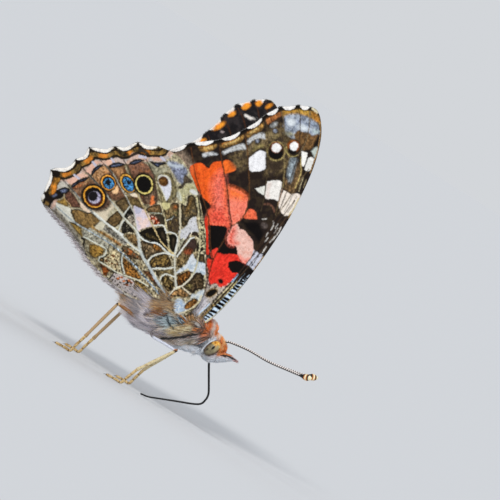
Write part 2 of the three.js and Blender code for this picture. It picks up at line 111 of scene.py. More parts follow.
def within(x, z, outline):
    """Which places lie inside a closed outline."""
    odd = np.zeros(x.shape, bool)
    for (x0, z0), (x1, z1) in zip(outline, np.roll(outline, 1, axis=0)):
        if z0 != z1:
            odd ^= ((z0 > z) != (z1 > z)) & (x < (x1 - x0) * (z - z0) / (z1 - z0) + x0)
    return odd


def near(face, line, margin):
    """The places of a face in the box round a line."""
    low, high = line.min(axis=0) - margin, line.max(axis=0) + margin
    x, z = face["x"], face["z"]
    return np.flatnonzero((x > low[0]) & (x < high[0]) & (z > low[1]) & (z < high[1]))


def dust(face, places, cover, colour):
    """Covers these places with scales of one colour, by the share given for each place."""
    cover = np.clip(cover, 0, 1)[:, None]
    face["colour"][places] = face["colour"][places] * (1 - cover) + colour * cover


def tone(face, places, colour, speckle):
    """A plain colour, or a speckle of two when a second one is given."""
    base = np.tile(shade(colour), (len(places), 1))
    if speckle:
        other, share, lump = speckle
        x, z = face["x"][places], face["z"][places]
        grains = 0.65 * mottle(x, z, lump, 5) + 0.35 * mottle(x, z, lump * 0.55, 6)
        mix = np.clip((grains - 1 + share) * 5 + 0.5, 0, 1)[:, None]
        base = base * (1 - mix) + shade(other) * mix
    return base


def patch(face, points, colour, edge=0.05, speckle=None, rim=None, rim_width=0.12, smooth=True, strength=1.0):
    """A patch of scales inside a closed outline, with an edge this soft, and a rim along the inside of it."""
    outline = flowing(points, closed=True) if smooth else np.array(points, float)
    places = near(face, outline, 3 * edge)
    if len(places) == 0:
        return
    x, z = face["x"][places], face["z"][places]
    away, _ = to_line(x, z, np.vstack([outline, outline[:1]]))
    depth = np.where(within(x, z, outline), away, -away)
    if rim:
        dust(face, places, strength * (0.5 + depth / (2 * edge)), shade(rim))
        depth = depth - rim_width
    tones = tone(face, places, colour, speckle)
    if shade(colour).mean() < 0.24:
        tones = tones * (1 - face.get("burn", 0) * np.exp(-(np.maximum(depth, 0) / 0.16) ** 2))[:, None]
    dust(face, places, strength * (0.5 + depth / (2 * edge)), tones)


def oval(face, centre, radii, turn, colour, edge=0.05, speckle=None, strength=1.0):
    """An oval patch, its first radius turned this many degrees up from level."""
    places = near(face, np.array([centre]), max(radii) + 3 * edge)
    dx, dz = face["x"][places] - centre[0], face["z"][places] - centre[1]
    c, s = np.cos(np.radians(turn)), np.sin(np.radians(turn))
    reach = np.hypot((dx * c + dz * s) / radii[0], (dz * c - dx * s) / radii[1])
    depth = (1 - reach) * min(radii)
    dust(face, places, strength * (0.5 + depth / (2 * edge)), tone(face, places, colour, speckle))


def streak(face, points, width, colour, end_colour=None, edge=0.05, strength=1.0, speckle=None):
    """A line of scales this wide, its colour changing to a second one along it."""
    line = flowing(points) if len(points) > 2 else np.array(points, float)
    places = near(face, line, width + 3 * edge)
    if len(places) == 0:
        return
    away, along = to_line(face["x"][places], face["z"][places], line)
    colours = tone(face, places, colour, speckle)
    if end_colour:
        mix = along[:, None]
        colours = colours * (1 - mix) + shade(end_colour) * mix
    dust(face, places, strength * (0.5 + (width / 2 - away) / (2 * edge)), colours)


def margin_line(runs):
    """The whole outer margin as one line, from its runs between veins."""
    return np.vstack([flowing(run)[:-1] for run in runs] + [np.array([runs[-1][-1]])])


def margin_marks(face, runs, thick, gap, colour, speckle=None):
    """Pale crescents along an outer margin, one between each two veins, this thick in the middle.
    Each leaves this share of its run bare at both ends."""
    for run in runs:
        line = flowing(run)
        places = near(face, line, thick)
        away, along = to_line(face["x"][places], face["z"][places], line)
        share = np.clip((along - gap) / (1 - 2 * gap), 0, 1)
        dust(face, places, 0.5 + (thick * np.sqrt(np.sin(np.pi * share)) - away) / 0.08,
             tone(face, places, colour, speckle))


def scaled_over(colours, x, z):
    """A wing's colours broken up by its scales: fine grain, and fibres running out from the root.
    There are dark flecks in the browns, and light ones that are painted glints off single scales, most near
    the root."""
    reach, turn = np.hypot(x - ROOT[0], z - ROOT[1]), np.arctan2(z - ROOT[1], x - ROOT[0])
    fibres = mottle(turn, reach / 70, 0.013, 14)
    grain = 0.6 * mottle(x, z, 0.16, 9) + 0.4 * mottle(x, z, 0.3, 10)
    light = colours.mean(axis=1)
    brown = smooth_step(light, 0.015, 0.06) * (1 - smooth_step(light, 0.3, 0.5))
    dull = brown * (1 - smooth_step(colours[:, 0] / (colours[:, 2] + 0.01), 9, 16))
    near_root = 1 - smooth_step(reach, 8, 17)
    dark = dull * smooth_step(mottle(x + 0.3 * z, z, 0.17, 12), 0.5, 0.72)
    # Painted highlight: these pale flecks stand for glints off single scales.
    pale = dull * smooth_step(mottle(x, z + 0.3 * x, 0.18, 13), 0.56, 0.78)
    change = (1 + (0.3 + 0.45 * brown) * (grain - 0.5)) * (1 + (0.14 + 0.36 * brown) * (fibres - 0.5))
    change *= (1.1 - (0.45 + 0.4 * near_root) * dark) * (1 + (0.35 + 0.55 * near_root) * pale)
    return np.clip(colours * change[:, None], 0, 1)


def plain_mesh(name, points, triangles):
    """A mesh datablock from arrays of corners, as given, and triangles."""
    mesh = bpy.data.meshes.new(name)
    mesh.vertices.add(len(points))
    mesh.vertices.foreach_set("co", np.asarray(points, np.float32).ravel())
    mesh.loops.add(3 * len(triangles))
    mesh.loops.foreach_set("vertex_index", np.asarray(triangles, np.int32).ravel())
    mesh.polygons.add(len(triangles))
    mesh.polygons.foreach_set("loop_start", np.arange(0, 3 * len(triangles), 3, dtype=np.int32))
    mesh.polygons.foreach_set("use_smooth", np.ones(len(triangles), bool))
    mesh.update(calc_edges=True)
    return mesh


def make_piece(name, points, triangles, finish, nodes=(), colours=None, bake_map=None):
    """An object of the butterfly, from corners in millimetres, with a colour for each corner when given."""
    mesh = plain_mesh(name, (np.asarray(points) + [0, BODY_Y, 0]) * MM, triangles)
    if colours is not None:
        layer = mesh.color_attributes.new("scales", "FLOAT_COLOR", "POINT")
        layer.data.foreach_set("color", np.column_stack([colours, np.ones(len(colours))]).ravel())
    if bake_map is not None:
        layer = mesh.uv_layers.new(name="OFBake")
        layer.uv.foreach_set("vector", bake_map[np.asarray(triangles).ravel()].ravel())
    mesh.materials.append(finish)
    piece = bpy.data.objects.new(name, mesh)
    bpy.context.scene.collection.objects.link(piece)
    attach(piece, "root")
    if nodes:
        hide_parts(*nodes)
    return piece


def tube_triangles(rings, sides):
    """Triangles of a closed tube whose corners are ring by ring, then a point for each end."""
    ring, side = np.meshgrid(np.arange(rings - 1), np.arange(sides), indexing="ij")
    a = (ring * sides + side).ravel()
    b = (ring * sides + (side + 1) % sides).ravel()
    k = np.arange(sides)
    first, last = rings * sides, rings * sides + 1
    return np.vstack([
        np.column_stack([a, b, b + sides]),
        np.column_stack([a, b + sides, a + sides]),
        np.column_stack([np.full(sides, first), (k + 1) % sides, k]),
        np.column_stack([np.full(sides, last), first - sides + k, first - sides + (k + 1) % sides]),
    ])


def tube(path, radius_at, sides=16, step=0.12, flatten=1.0, cap=0.4):
    """A closed tube along a smooth path: its corners, its triangles, and each corner's share along it."""
    line = flowing(path, step=step)
    lengths = np.concatenate([[0], np.cumsum(np.linalg.norm(np.diff(line, axis=0), axis=1))])
    share = lengths / lengths[-1]
    ahead = np.gradient(line, axis=0)
    ahead /= np.linalg.norm(ahead, axis=1)[:, None]
    across = np.cross(ahead, [0, 0, 1.0])
    across[np.linalg.norm(across, axis=1) < 1e-6] = [0, 1, 0]
    for n in range(1, len(across)):
        across[n] = across[n - 1] - ahead[n] * (across[n - 1] @ ahead[n])
    across /= np.linalg.norm(across, axis=1)[:, None]
    upward = np.cross(across, ahead)
    radius = radius_at(share)
    turn = 2 * np.pi * np.arange(sides) / sides
    corners = (line[:, None, :] + radius[:, None, None] * (
        np.cos(turn)[None, :, None] * across[:, None, :]
        + flatten * np.sin(turn)[None, :, None] * upward[:, None, :])).reshape(-1, 3)
    ends = np.vstack([line[0] - ahead[0] * radius[0] * cap, line[-1] + ahead[-1] * radius[-1] * cap])
    along = np.concatenate([np.repeat(share, sides), [0, 1]])
    triangles = tube_triangles(len(line), sides)
    return np.vstack([corners, ends]), outward(np.vstack([corners, ends]), triangles), along


def outward(points, triangles):
    """The triangles, turned over if the closed shape they make is inside out."""
    a, b, c = (points[triangles[:, n]] for n in range(3))
    volume = np.einsum("ij,ij->i", a, np.cross(b, c)).sum()
    return triangles if volume > 0 else triangles[:, ::-1]


def joined(shapes):
    """One list of corners and triangles from several, with any further arrays of each stacked too."""
    offset, corners, triangles = 0, [], []
    for shape in shapes:
        corners.append(shape[0])
        triangles.append(shape[1] + offset)
        offset += len(shape[0])
    further = [np.concatenate([shape[n] for shape in shapes]) for n in range(2, len(shapes[0]))]
    return (np.vstack(corners), np.vstack(triangles), *further)


def mirrored(path, side):
    return [(x, side * y, z) for x, y, z in path]


def add_node(finish, kind, values=None, **settings):
    node = finish.node_tree.nodes.new(kind)
    for key, value in settings.items():
        setattr(node, key, value)
    for socket, value in (values or {}).items():
        node.inputs[socket].default_value = value
    return node


def new_finish(name, roughness=0.6, specular=0.3, sheen=0.0):
    """A material coloured by the corners' own colours. Returns it with its shader and its colour node."""
    finish = bpy.data.materials.new(name)
    finish.use_nodes = True
    shader = finish.node_tree.nodes["Principled BSDF"]
    shader.inputs["Roughness"].default_value = roughness
    shader.inputs["Specular IOR Level"].default_value = specular
    shader.inputs["Sheen Weight"].default_value = sheen
    colour = add_node(finish, "ShaderNodeVertexColor", layer_name="scales")
    finish.node_tree.links.new(colour.outputs["Color"], shader.inputs["Base Color"])
    return finish, shader, colour


def add_grain(finish, shader, colour, size, contrast, depth, stretch=(1, 1, 1), turn=(0, 0, 0)):
    """Fine grain of this size, as changes of tone and as relief of this depth, both in millimetres."""
    link = finish.node_tree.links.new
    place = add_node(finish, "ShaderNodeTexCoord")
    scaled = add_node(finish, "ShaderNodeMapping", {"Scale": stretch, "Rotation": turn})
    grain = add_node(finish, "ShaderNodeTexNoise",
                     {"Scale": 0.6 / (size * MM), "Detail": 3.0, "Roughness": 0.6})
    level = add_node(finish, "ShaderNodeMapRange",
                     {"From Min": 0.3, "From Max": 0.7, "To Min": 1 - contrast, "To Max": 1 + contrast})
    tinted = add_node(finish, "ShaderNodeVectorMath", operation="SCALE")
    relief = add_node(finish, "ShaderNodeBump", {"Strength": 1.0, "Distance": depth * MM})
    link(place.outputs["Object"], scaled.inputs["Vector"])
    link(scaled.outputs["Vector"], grain.inputs["Vector"])
    link(grain.outputs["Fac"], level.inputs["Value"])
    link(colour.outputs["Color"], tinted.inputs[0])
    link(level.outputs["Result"], tinted.inputs["Scale"])
    link(tinted.outputs["Vector"], shader.inputs["Base Color"])
    link(grain.outputs["Fac"], relief.inputs["Height"])
    link(relief.outputs["Normal"], shader.inputs["Normal"])


# Skin of the body
# One horny skin runs over head, thorax, abdomen, palps and the folded forelegs. It is built from
# overlapping rounded forms fused into one surface, and carries the colours of the coat over it.
COAT_DEPTH = 0.3
ABDOMEN_RINGS = 8
EYE_CENTRE = np.array([8.0, 1.14, 9.82])
EYE_RADII = np.array([1.2, 0.92, 0.76])  # long, sideways, short
EYE_TILT = np.radians(66)

# Sections from the waist to the neck, the furry collar last, and from the nape to the face. Each is x,
# bottom, top and half width.
thorax_rings = [(-3.45, 8.6, 10.9, 0.8), (-3.0, 8.0, 11.45, 1.55), (-2.0, 7.4, 12.1, 2.25),
                (-0.5, 7.1, 12.55, 2.75), (1.0, 7.05, 12.75, 3.0), (2.8, 7.2, 12.8, 2.95),
                (4.3, 7.7, 12.75, 2.65), (5.4, 8.5, 12.75, 2.2), (6.2, 9.2, 12.8, 1.85),
                (6.7, 9.4, 12.65, 1.6), (7.1, 9.6, 12.25, 1.4), (7.4, 9.9, 11.8, 1.1)]
head_rings = [(6.7, 8.7, 11.0, 0.8), (7.15, 8.25, 11.45, 1.25), (7.7, 8.0, 11.7, 1.6),
              (8.2, 7.95, 11.65, 1.65), (8.7, 8.3, 11.4, 1.45), (9.1, 8.8, 11.15, 1.1), (9.4, 9.4, 10.7, 0.6)]
palp_path = [(8.3, 0.5, 8.7), (9.2, 0.55, 9.12), (9.85, 0.52, 9.55), (10.4, 0.46, 9.82), (10.95, 0.38, 9.97),
             (11.35, 0.32, 10.0)]
foreleg_path = [(7.2, 1.0, 8.75), (5.6, 1.25, 8.3), (3.8, 1.3, 7.9), (1.9, 1.2, 7.45)]


def oval_body(rings, inset, sides=40):
    """A closed body with upright oval sections."""
    line = flowing(rings, step=0.15)
    half = np.maximum(line[:, 3] - inset, 0.12)
    upright = np.maximum((line[:, 2] - line[:, 1]) / 2 - inset, 0.12)
    turn = 2 * np.pi * np.arange(sides) / sides
    corners = np.stack([
        np.repeat(line[:, :1], sides, axis=1),
        half[:, None] * np.sin(turn),
        ((line[:, 1] + line[:, 2]) / 2)[:, None] + upright[:, None] * np.cos(turn),
    ], axis=-1).reshape(-1, 3)
    middle = [(line[n, 0], 0, (line[n, 1] + line[n, 2]) / 2) for n in (0, -1)]
    points = np.vstack([corners, middle])
    return points, outward(points, tube_triangles(len(line), sides))


def abdomen_radius(share):
    body = 1.66 * np.sqrt(np.maximum(0.05, 1 - np.maximum(0, (share - 0.3) / 0.72) ** 2.2))
    nip = 0.07 * (1 - np.abs(np.sin(np.pi * share * ABDOMEN_RINGS)))
    return body - nip - 0.18


def fused(shapes, voxel, rounds):
    """One smooth closed surface round overlapping closed shapes."""
    points, triangles = joined(shapes)
    mesh = plain_mesh("lump", points, triangles)
    lump = bpy.data.objects.new("lump", mesh)
    bpy.context.scene.collection.objects.link(lump)
    remesh = lump.modifiers.new("remesh", "REMESH")
    remesh.mode = "VOXEL"
    remesh.voxel_size = voxel
    even = lump.modifiers.new("even", "SMOOTH")
    even.iterations = rounds
    even.factor = 0.6
    corners = lump.modifiers.new("triangles", "TRIANGULATE")
    corners.quad_method = "FIXED"
    whole = bpy.data.meshes.new_from_object(lump.evaluated_get(bpy.context.evaluated_depsgraph_get()))
    found = np.zeros(3 * len(whole.vertices), np.float32)
    whole.vertices.foreach_get("co", found)
    faces = np.zeros(3 * len(whole.polygons), np.int32)
    whole.polygons.foreach_get("vertices", faces)
    bpy.data.objects.remove(lump)
    bpy.data.meshes.remove(whole)
    bpy.data.meshes.remove(mesh)
    return found.reshape(-1, 3).astype(float), faces.reshape(-1, 3)


abdomen_path = [(x, 0, 9.92 - 0.303 * x) for x in (-1.2, -4.05, -6.9, -9.75, -12.6)]
palp_girth = lambda share: 0.56 - 0.14 * share - 0.28 * smooth_step(share, 0.5, 1)
foreleg_girth = lambda share: 0.12 + 0.38 * np.sin(np.pi * (0.12 + 0.83 * share))
skin_points, skin_triangles = fused([
    oval_body(thorax_rings, COAT_DEPTH),
    oval_body(head_rings, 0.22),
    tube(abdomen_path, abdomen_radius, sides=32)[:2],
    *(tube(mirrored(palp_path, side), palp_girth)[:2] for side in SIDES.values()),
    *(tube(mirrored(foreleg_path, side), foreleg_girth)[:2] for side in SIDES.values()),
], 0.13, 6)


def body_colours(points):
    """The coat's colours at places on the body, the same on both sides."""
    face = {"x": points[:, 0], "z": points[:, 2], "colour": np.zeros((len(points), 3))}
    everywhere = np.arange(len(points))
    face["colour"] = tone(face, everywhere, "d8d0d3", ("b4acb2", 0.4, 0.5))
    # Abdomen, buff above and paler below
    patch(face, [
        (-14, 8), (-14, 15), (-2.4, 12.8), (-2.4, 8)
    ], "b79a76", edge=0.6, speckle=("957a58", 0.4, 0.4))
    # Breast behind the wing roots, tan, with rust, blue grey and dark tufts
    patch(face, [
        (0.2, 12.9), (5.6, 12.9), (5.5, 11.2), (4.4, 9.7), (2.4, 9.0), (0.6, 9.2), (-1.4, 9.8), (-2.4, 11.4)
    ], "c4a67c", edge=0.5, speckle=("a48c6c", 0.4, 0.5))
    patch(face, [
        (0.9, 10.9), (2.4, 10.9), (3.6, 10.6), (3.4, 9.7), (2.2, 9.3), (0.9, 9.5)
    ], "adb9bd", edge=0.3, speckle=("7f9096", 0.4, 0.3))
    patch(face, [
        (-0.6, 12.4), (0.4, 12.2), (1.2, 11.2), (1.4, 10.6), (1.0, 10.2), (0.2, 10.9), (-0.8, 11.4)
    ], "c0925c", edge=0.25, speckle=("94602f", 0.4, 0.3))
    streak(face, [
        (-0.7, 9.8), (0.2, 10.2), (1.1, 10.7)
    ], 0.55, "8a5a34", edge=0.2, speckle=("4d3524", 0.45, 0.2))
    streak(face, [(0.5, 10.9), (1.0, 10.6)], 0.4, "b0783c", edge=0.2)
    streak(face, [(1.1, 10.0), (1.9, 9.5), (2.6, 9.1)], 0.22, "3f4a4e", edge=0.1)
    streak(face, [(3.3, 11.6), (4.0, 11.2), (4.4, 10.9)], 0.4, "c07a3e", edge=0.25)
    streak(face, [(-2.0, 8.4), (-1.3, 9.0), (-0.9, 9.6)], 0.3, "6e6a72", edge=0.2)
    # Collar and nape
    patch(face, [
        (5.5, 13.3), (7.9, 13.4), (8.0, 11.7), (7.3, 10.9), (6.4, 10.9), (5.9, 10.8), (5.5, 11.6)
    ], "ff8c34", edge=0.2, speckle=("f6c09c", 0.33, 0.25))
    streak(face, [(6.5, 13.0), (6.6, 12.2), (6.85, 11.5), (7.3, 10.9)], 0.42, "e6d9d0", edge=0.15)
    streak(face, [(5.9, 11.3), (5.5, 10.7), (5.3, 10.4)], 0.3, "c8763a", edge=0.15)
    patch(face, [
        (5.1, 11.5), (5.9, 11.4), (6.3, 11.0), (6.1, 10.6), (5.4, 10.6)
    ], "7d6658", edge=0.15, speckle=("a09488", 0.4, 0.3))
    # Top of the head and the face
    patch(face, [
        (7.2, 12.3), (9.2, 12.3), (10.3, 11.0), (10.0, 9.9), (9.3, 9.5), (8.9, 9.4), (8.4, 10.9),
        (7.4, 10.9)
    ], "fb9444", edge=0.15, speckle=("fac488", 0.4, 0.2))
    streak(face, [(8.15, 11.9), (8.05, 11.2)], 0.3, "eadfd6", edge=0.12)
    streak(face, [(8.95, 11.5), (9.0, 11.1)], 0.2, "7d7268", edge=0.1)
    patch(face, [(6.7, 11.0), (7.2, 10.8), (7.1, 10.1), (6.7, 10.0), (6.4, 10.5)], "6b5042", edge=0.15)
    # Cheeks, chin and breast, white to blue grey
    patch(face, [
        (6.4, 10.3), (7.1, 9.9), (7.3, 9.0), (8.2, 8.7), (8.9, 8.9), (9.3, 9.4), (10.0, 9.7), (11.2, 9.95),
        (11.2, 9.3), (9.4, 8.0), (7.0, 7.2), (4.8, 7.0), (3.6, 7.6), (4.8, 8.9)
    ], "dfe4ec", edge=0.2, speckle=("c6c4c6", 0.35, 0.3))
    streak(face, [(6.9, 9.0), (7.15, 10.0), (7.75, 10.95)], 0.3, "e6ebf2", edge=0.1)
    streak(face, [(9.2, 10.0), (10.0, 10.28), (10.8, 10.3)], 0.24, "dd7c3a", edge=0.08)
    streak(face, [(11.0, 10.0), (11.9, 10.0)], 0.5, "9c7a78", edge=0.1)
    # Folded foreleg and the crease above it
    patch(face, [
        (1.6, 7.4), (2.2, 8.0), (4.2, 8.9), (5.4, 9.9), (6.3, 10.4), (6.4, 9.6), (5.0, 8.4), (3.4, 7.5)
    ], "c9bdac", edge=0.2, speckle=("a99a88", 0.4, 0.3))
    streak(face, [(2.2, 7.8), (4.0, 8.25), (5.4, 8.95), (6.4, 9.5)], 0.34, "a98358", edge=0.15)
    streak(face, [(3.0, 8.9), (4.2, 9.9), (4.9, 10.8)], 0.5, "d2bb8c", edge=0.2)
    return face["colour"]


skin_finish, skin_shader, skin_colour = new_finish("skin", roughness=0.7, specular=0.25)
add_grain(skin_finish, skin_shader, skin_colour, 0.12, 0.25, 0.03)
# The skin takes the coat's colours darkened to 0.55, as painted shade deep under the hair.
make_piece("body_skin", skin_points, skin_triangles, skin_finish,
           ("thorax", "head", "abdomen", "palp_right", "palp_left", "foreleg_right", "foreleg_left"),
           colours=body_colours(skin_points) * 0.55)


# Coat
# Fine hairs and long narrow scales grow from the skin and lie back along the body. They stand up on the
# collar and brow, and are shortest on the face, palps and folded forelegs.
coat_draw = np.random.default_rng(4)
HAIRS_AT_ONCE = 12000  # in one piece
HAIR_ROOT_DEPTH = 0.04


def strands(roots, lie, out, length, girth, lift, droop, colours, bake_places, tip_tone=1.15):
    """Closed three-sided hairs. Each leaves its root along its lie, lifted outwards, then droops back."""
    count = len(roots)
    ahead = lie + out * lift[:, None]
    ahead /= np.linalg.norm(ahead, axis=1)[:, None]
    across = np.cross(ahead, out)
    across /= np.maximum(np.linalg.norm(across, axis=1), 1e-6)[:, None]
    upward = np.cross(across, ahead)
    corners = np.zeros((count, 10, 3))
    tints = np.zeros((count, 10, 3))
    places = np.zeros((count, 10, 2))
    # Each hair is darkened towards its root, as painted shade deep in the coat, and lightened towards its
    # tip.
    for ring, (share, thick, tint) in enumerate([(0.0, 1.0, 0.65), (0.38, 0.9, 0.95), (0.74, 0.6, 1.05)]):
        sunk = droop * share ** 2 * length + HAIR_ROOT_DEPTH * (ring == 0)
        centre = roots + ahead * (share * length)[:, None] - out * sunk[:, None]
        for corner in range(3):
            turn = 2 * np.pi * corner / 3 + np.pi / 2
            edge = np.cos(turn) * across + 0.7 * np.sin(turn) * upward
            corners[:, 3 * ring + corner] = centre + edge * (girth * thick)[:, None]
            tints[:, 3 * ring + corner] = colours * tint
            places[:, 3 * ring + corner] = bake_places + [0.0012 * (corner - 1), 0.003 * share]
    corners[:, 9] = roots + ahead * length[:, None] - out * (droop * length)[:, None]
    tints[:, 9] = colours * tip_tone
    places[:, 9] = bake_places + [0, 0.003]
    sides = []
    for ring in (0, 3):
        for corner in range(3):
            a, b = ring + corner, ring + (corner + 1) % 3
            sides += [(a, b, b + 3), (a, b + 3, a + 3)]
    sides += [(6, 7, 9), (7, 8, 9), (8, 6, 9), (0, 2, 1)]
    triangles = (np.array(sides)[None] + 10 * np.arange(count)[:, None, None]).reshape(-1, 3)
    points = corners.reshape(-1, 3)
    return (points, outward(points, triangles), np.clip(tints.reshape(-1, 3), 0, 1),
            places.reshape(-1, 2))


def corner_normals(points, triangles):
    a, b, c = (points[triangles[:, n]] for n in range(3))
    facing = np.cross(b - a, c - a)
    normals = np.zeros_like(points)
    for n in range(3):
        np.add.at(normals, triangles[:, n], facing)
    return normals / np.maximum(np.linalg.norm(normals, axis=1), 1e-9)[:, None]


def part_of_path(points, path, reach):
    """How much places belong to a limb, from 1 near its centre line to 0 beyond its reach."""
    line = flowing(path, step=0.2)
    away = np.min(np.linalg.norm(points[:, None, :] * [1, 0, 1] + [0, 1, 0] * np.abs(points[:, None, :])
                                 - line[None], axis=2), axis=1)
    return 1 - smooth_step(away, reach, reach * 1.35)


def coat_lie(points):
    """For places on the skin, the way the hair lies, and its length, lift, girth and number to an area."""
    x, z = points[:, 0], points[:, 2]
    lie = np.tile([-0.85, 0.0, -0.42], (len(points), 1))
    values = np.tile([1.6, 0.34, 0.034, 130.0], (len(points), 1))

    def lay(share, direction, length, lift, girth, thick):
        share = np.clip(share, 0, 1)[:, None]
        lie[:] = lie * (1 - share) + np.array(direction) * share
        values[:] = values * (1 - share) + np.array([length, lift, girth, thick]) * share

    lay(1 - smooth_step(x, -4.2, -2.6), (-0.957, 0, 0.29), 0.55, 0.22, 0.024, 95)
    breast = (1 - smooth_step(z, 8.3, 9.4)) * smooth_step(x, -0.5, 1.5)
    lay(breast, (-0.95, 0, -0.22), 0.9, 0.3, 0.028, 170)
    rear = (1 - smooth_step(x, -1.2, 0.8)) * smooth_step(x, -4.2, -3.6) * (1 - smooth_step(z, 9.8, 10.8))
    lay(rear, (-1.0, 0, 0.04), 2.6, 0.24, 0.034, 170)
    head = smooth_step(x, 6.9, 7.3)
    lay(head, (-0.35, 0, 0.9), 0.6, 0.5, 0.02, 330)
    lay(head * (1 - smooth_step(z, 9.2, 9.9)), (-0.6, 0, -0.35), 0.5, 0.3, 0.018, 420)
    chin = head * (1 - smooth_step(z, 8.3, 8.7)) * (1 - smooth_step(x, 8.4, 8.9))
    lay(chin, (-0.45, 0, -0.8), 0.5, 0.5, 0.018, 460)
    lay(head * smooth_step(x, 8.9, 9.3) * smooth_step(z, 9.8, 10.2), (0.6, 0, 0.45), 0.5, 0.5, 0.018, 420)
    collar = smooth_step(x, 5.5, 5.9) * (1 - smooth_step(x, 7.7, 8.0)) * smooth_step(z, 10.9, 11.5)
    lay(collar, (-0.45, 0, 1.0), 0.7, 0.9, 0.026, 330)
    brow = head * smooth_step(z, 11.2, 11.6) * smooth_step(x, 7.9, 8.3)
    lay(brow, (-0.1, 0, 0.9), 0.42, 1.0, 0.024, 400)
    palps = part_of_path(points, palp_path, 0.5) * smooth_step(x, 8.9, 9.3)
    lay(palps, (0.93, 0, 0.3), 0.36, 0.2, 0.018, 560)
    lay(part_of_path(points, foreleg_path, 0.6) * (1 - head), (-0.95, 0, -0.3), 0.55, 0.16, 0.018, 330)
    return lie, values


def eye_reach(points):
    """How far out from the middle of the nearer eye places are, seen from the side, 1 on its rim."""
    dx, dz = points[:, 0] - EYE_CENTRE[0], points[:, 2] - EYE_CENTRE[2]
    c, s = np.cos(EYE_TILT), np.sin(EYE_TILT)
    beside = np.abs(points[:, 1]) > 0.9
    return np.where(beside, np.hypot((dx * c + dz * s) / EYE_RADII[0], (dz * c - dx * s) / EYE_RADII[2]), 2)


def along_body(x):
    """Where places on the body lie along the baked picture, tail first, with some free at both ends."""
    return 0.03 + 0.94 * (x + 13.5) / 26.5


def grow_coat(guard):
    """The underfur, or with guard 1 the fewer, longer and thicker hairs over it."""
    corners = skin_points[skin_triangles]
    facing = np.cross(corners[:, 1] - corners[:, 0], corners[:, 2] - corners[:, 0])
    area = 0.5 * np.linalg.norm(facing, axis=1)
    middles = corners.mean(axis=1)
    _, values = coat_lie(middles)
    wanted = area * values[:, 3]
    count = int(wanted.sum() * 1 * (0.16 if guard else 0.88))
    chosen = coat_draw.choice(len(area), count, p=wanted / wanted.sum())
    u, v = coat_draw.random(count), coat_draw.random(count)
    folded = u + v > 1
    u, v = np.where(folded, 1 - u, u), np.where(folded, 1 - v, v)
    weights = np.stack([1 - u - v, u, v], axis=1)[:, :, None]
    roots = (corners[chosen] * weights).sum(axis=1)
    normals = corner_normals(skin_points, skin_triangles)[skin_triangles][chosen]
    out = (normals * weights).sum(axis=1)
    out /= np.linalg.norm(out, axis=1)[:, None]

    lie, values = coat_lie(roots)
    x, y, z = roots.T
    sway = mottle(x + 0.6 * y, z - 0.4 * y, 0.45, 31) - 0.5
    raise_more = mottle(x - 0.5 * y, z + 0.7 * y, 0.5, 32) - 0.5
    lie = lie + np.stack([0.3 * raise_more, 0.35 * sway * np.sign(y), 0.6 * sway], axis=1)
    lie += coat_draw.normal(0, 0.08, (count, 3))
    lie -= out * (lie * out).sum(axis=1)[:, None]
    lie /= np.maximum(np.linalg.norm(lie, axis=1), 1e-6)[:, None]
    length = values[:, 0] * coat_draw.uniform(0.6, 1.25, count) * (1 + 0.15 * guard)
    lift = np.clip(values[:, 1] * (1 + 1.1 * raise_more) + coat_draw.normal(0, 0.06, count), 0.03, 1.6)
    girth = values[:, 2] * coat_draw.uniform(0.75, 1.25, count) * (1 + 0.6 * guard)
    droop = 0.16 * np.minimum(lift, 0.6)

    # Neighbouring hairs cling together in locks, lighter or darker, some blue grey and some brown
    lengthwise, crosswise = x * lie[:, 0] + z * lie[:, 2], z * lie[:, 0] - x * lie[:, 2] + 0.8 * np.abs(y)
    lock = mottle(crosswise, lengthwise / 7, 0.17, 33)
    strand = mottle(crosswise, lengthwise / 9, 0.12, 34)
    colours = body_colours(roots + lie * 0.12)
    grey = (0.5 * smooth_step(mottle(crosswise, lengthwise / 6, 0.3, 35), 0.55, 0.8)
            * (1 - smooth_step(x, 5.6, 6.2)))[:, None]
    colours = colours * (1 - grey) + colours.mean(axis=1)[:, None] * [0.93, 1.02, 1.12] * grey
    colours *= (0.4 + 0.8 * smooth_step(lock, 0.25, 0.75) + 0.8 * smooth_step(strand, 0.25, 0.75))[:, None]
    colours *= np.exp(coat_draw.normal(0, 0.16 + 0.44 * guard, (count, 1)))
    # Painted light: the underside and rear of the coat, which the lamps above leave in shade, and the
    # self-shading hair of the head and collar are made paler.
    paler = np.maximum(1 - smooth_step(z, 8.2, 10.6), 0.9 * (1 - smooth_step(x, -1.8, 0.2)))
    head = smooth_step(x, 5.7, 6.3) * smooth_step(z, 9.6, 10.6)
    colours *= (1.15 + 1.3 * paler + 0.45 * head)[:, None]
    colours /= np.maximum(colours.max(axis=1) / 0.92, 1)[:, None]

    # No hair covers the eyes
    clear = np.ones(count, bool)
    for share in (0.0, 0.5, 1.0):
        ahead = lie + out * lift[:, None]
        ahead /= np.linalg.norm(ahead, axis=1)[:, None]
        place = roots + ahead * (share * length)[:, None] - out * (droop * share ** 2 * length)[:, None]
        clear &= eye_reach(place) > 1
    turn = np.arctan2(z - 10, y) / (2 * np.pi) + 0.5
    bake_places = np.column_stack([along_body(x), 0.03 + 0.94 * turn])
    return [values[clear] for values in (roots, lie, out, length, girth, lift, droop, colours, bake_places)]


hair_finish, _, _ = new_finish("hair", roughness=0.5, specular=0.35, sheen=0.15)


def flank(x, z, side, above):
    """Places this far outside the skin of one flank, from where they are as seen from the side.
    Also tells which of them have skin under them."""
    half = skin_points[skin_points[:, 1] * side > 0]
    out = np.array([np.abs(half[np.hypot(half[:, 0] - at_x, half[:, 2] - at_z) < 0.2, 1]).max(initial=0)
                    for at_x, at_z in zip(x, z)])
    return np.column_stack([x, side * (out + above), z]), out > 0.3


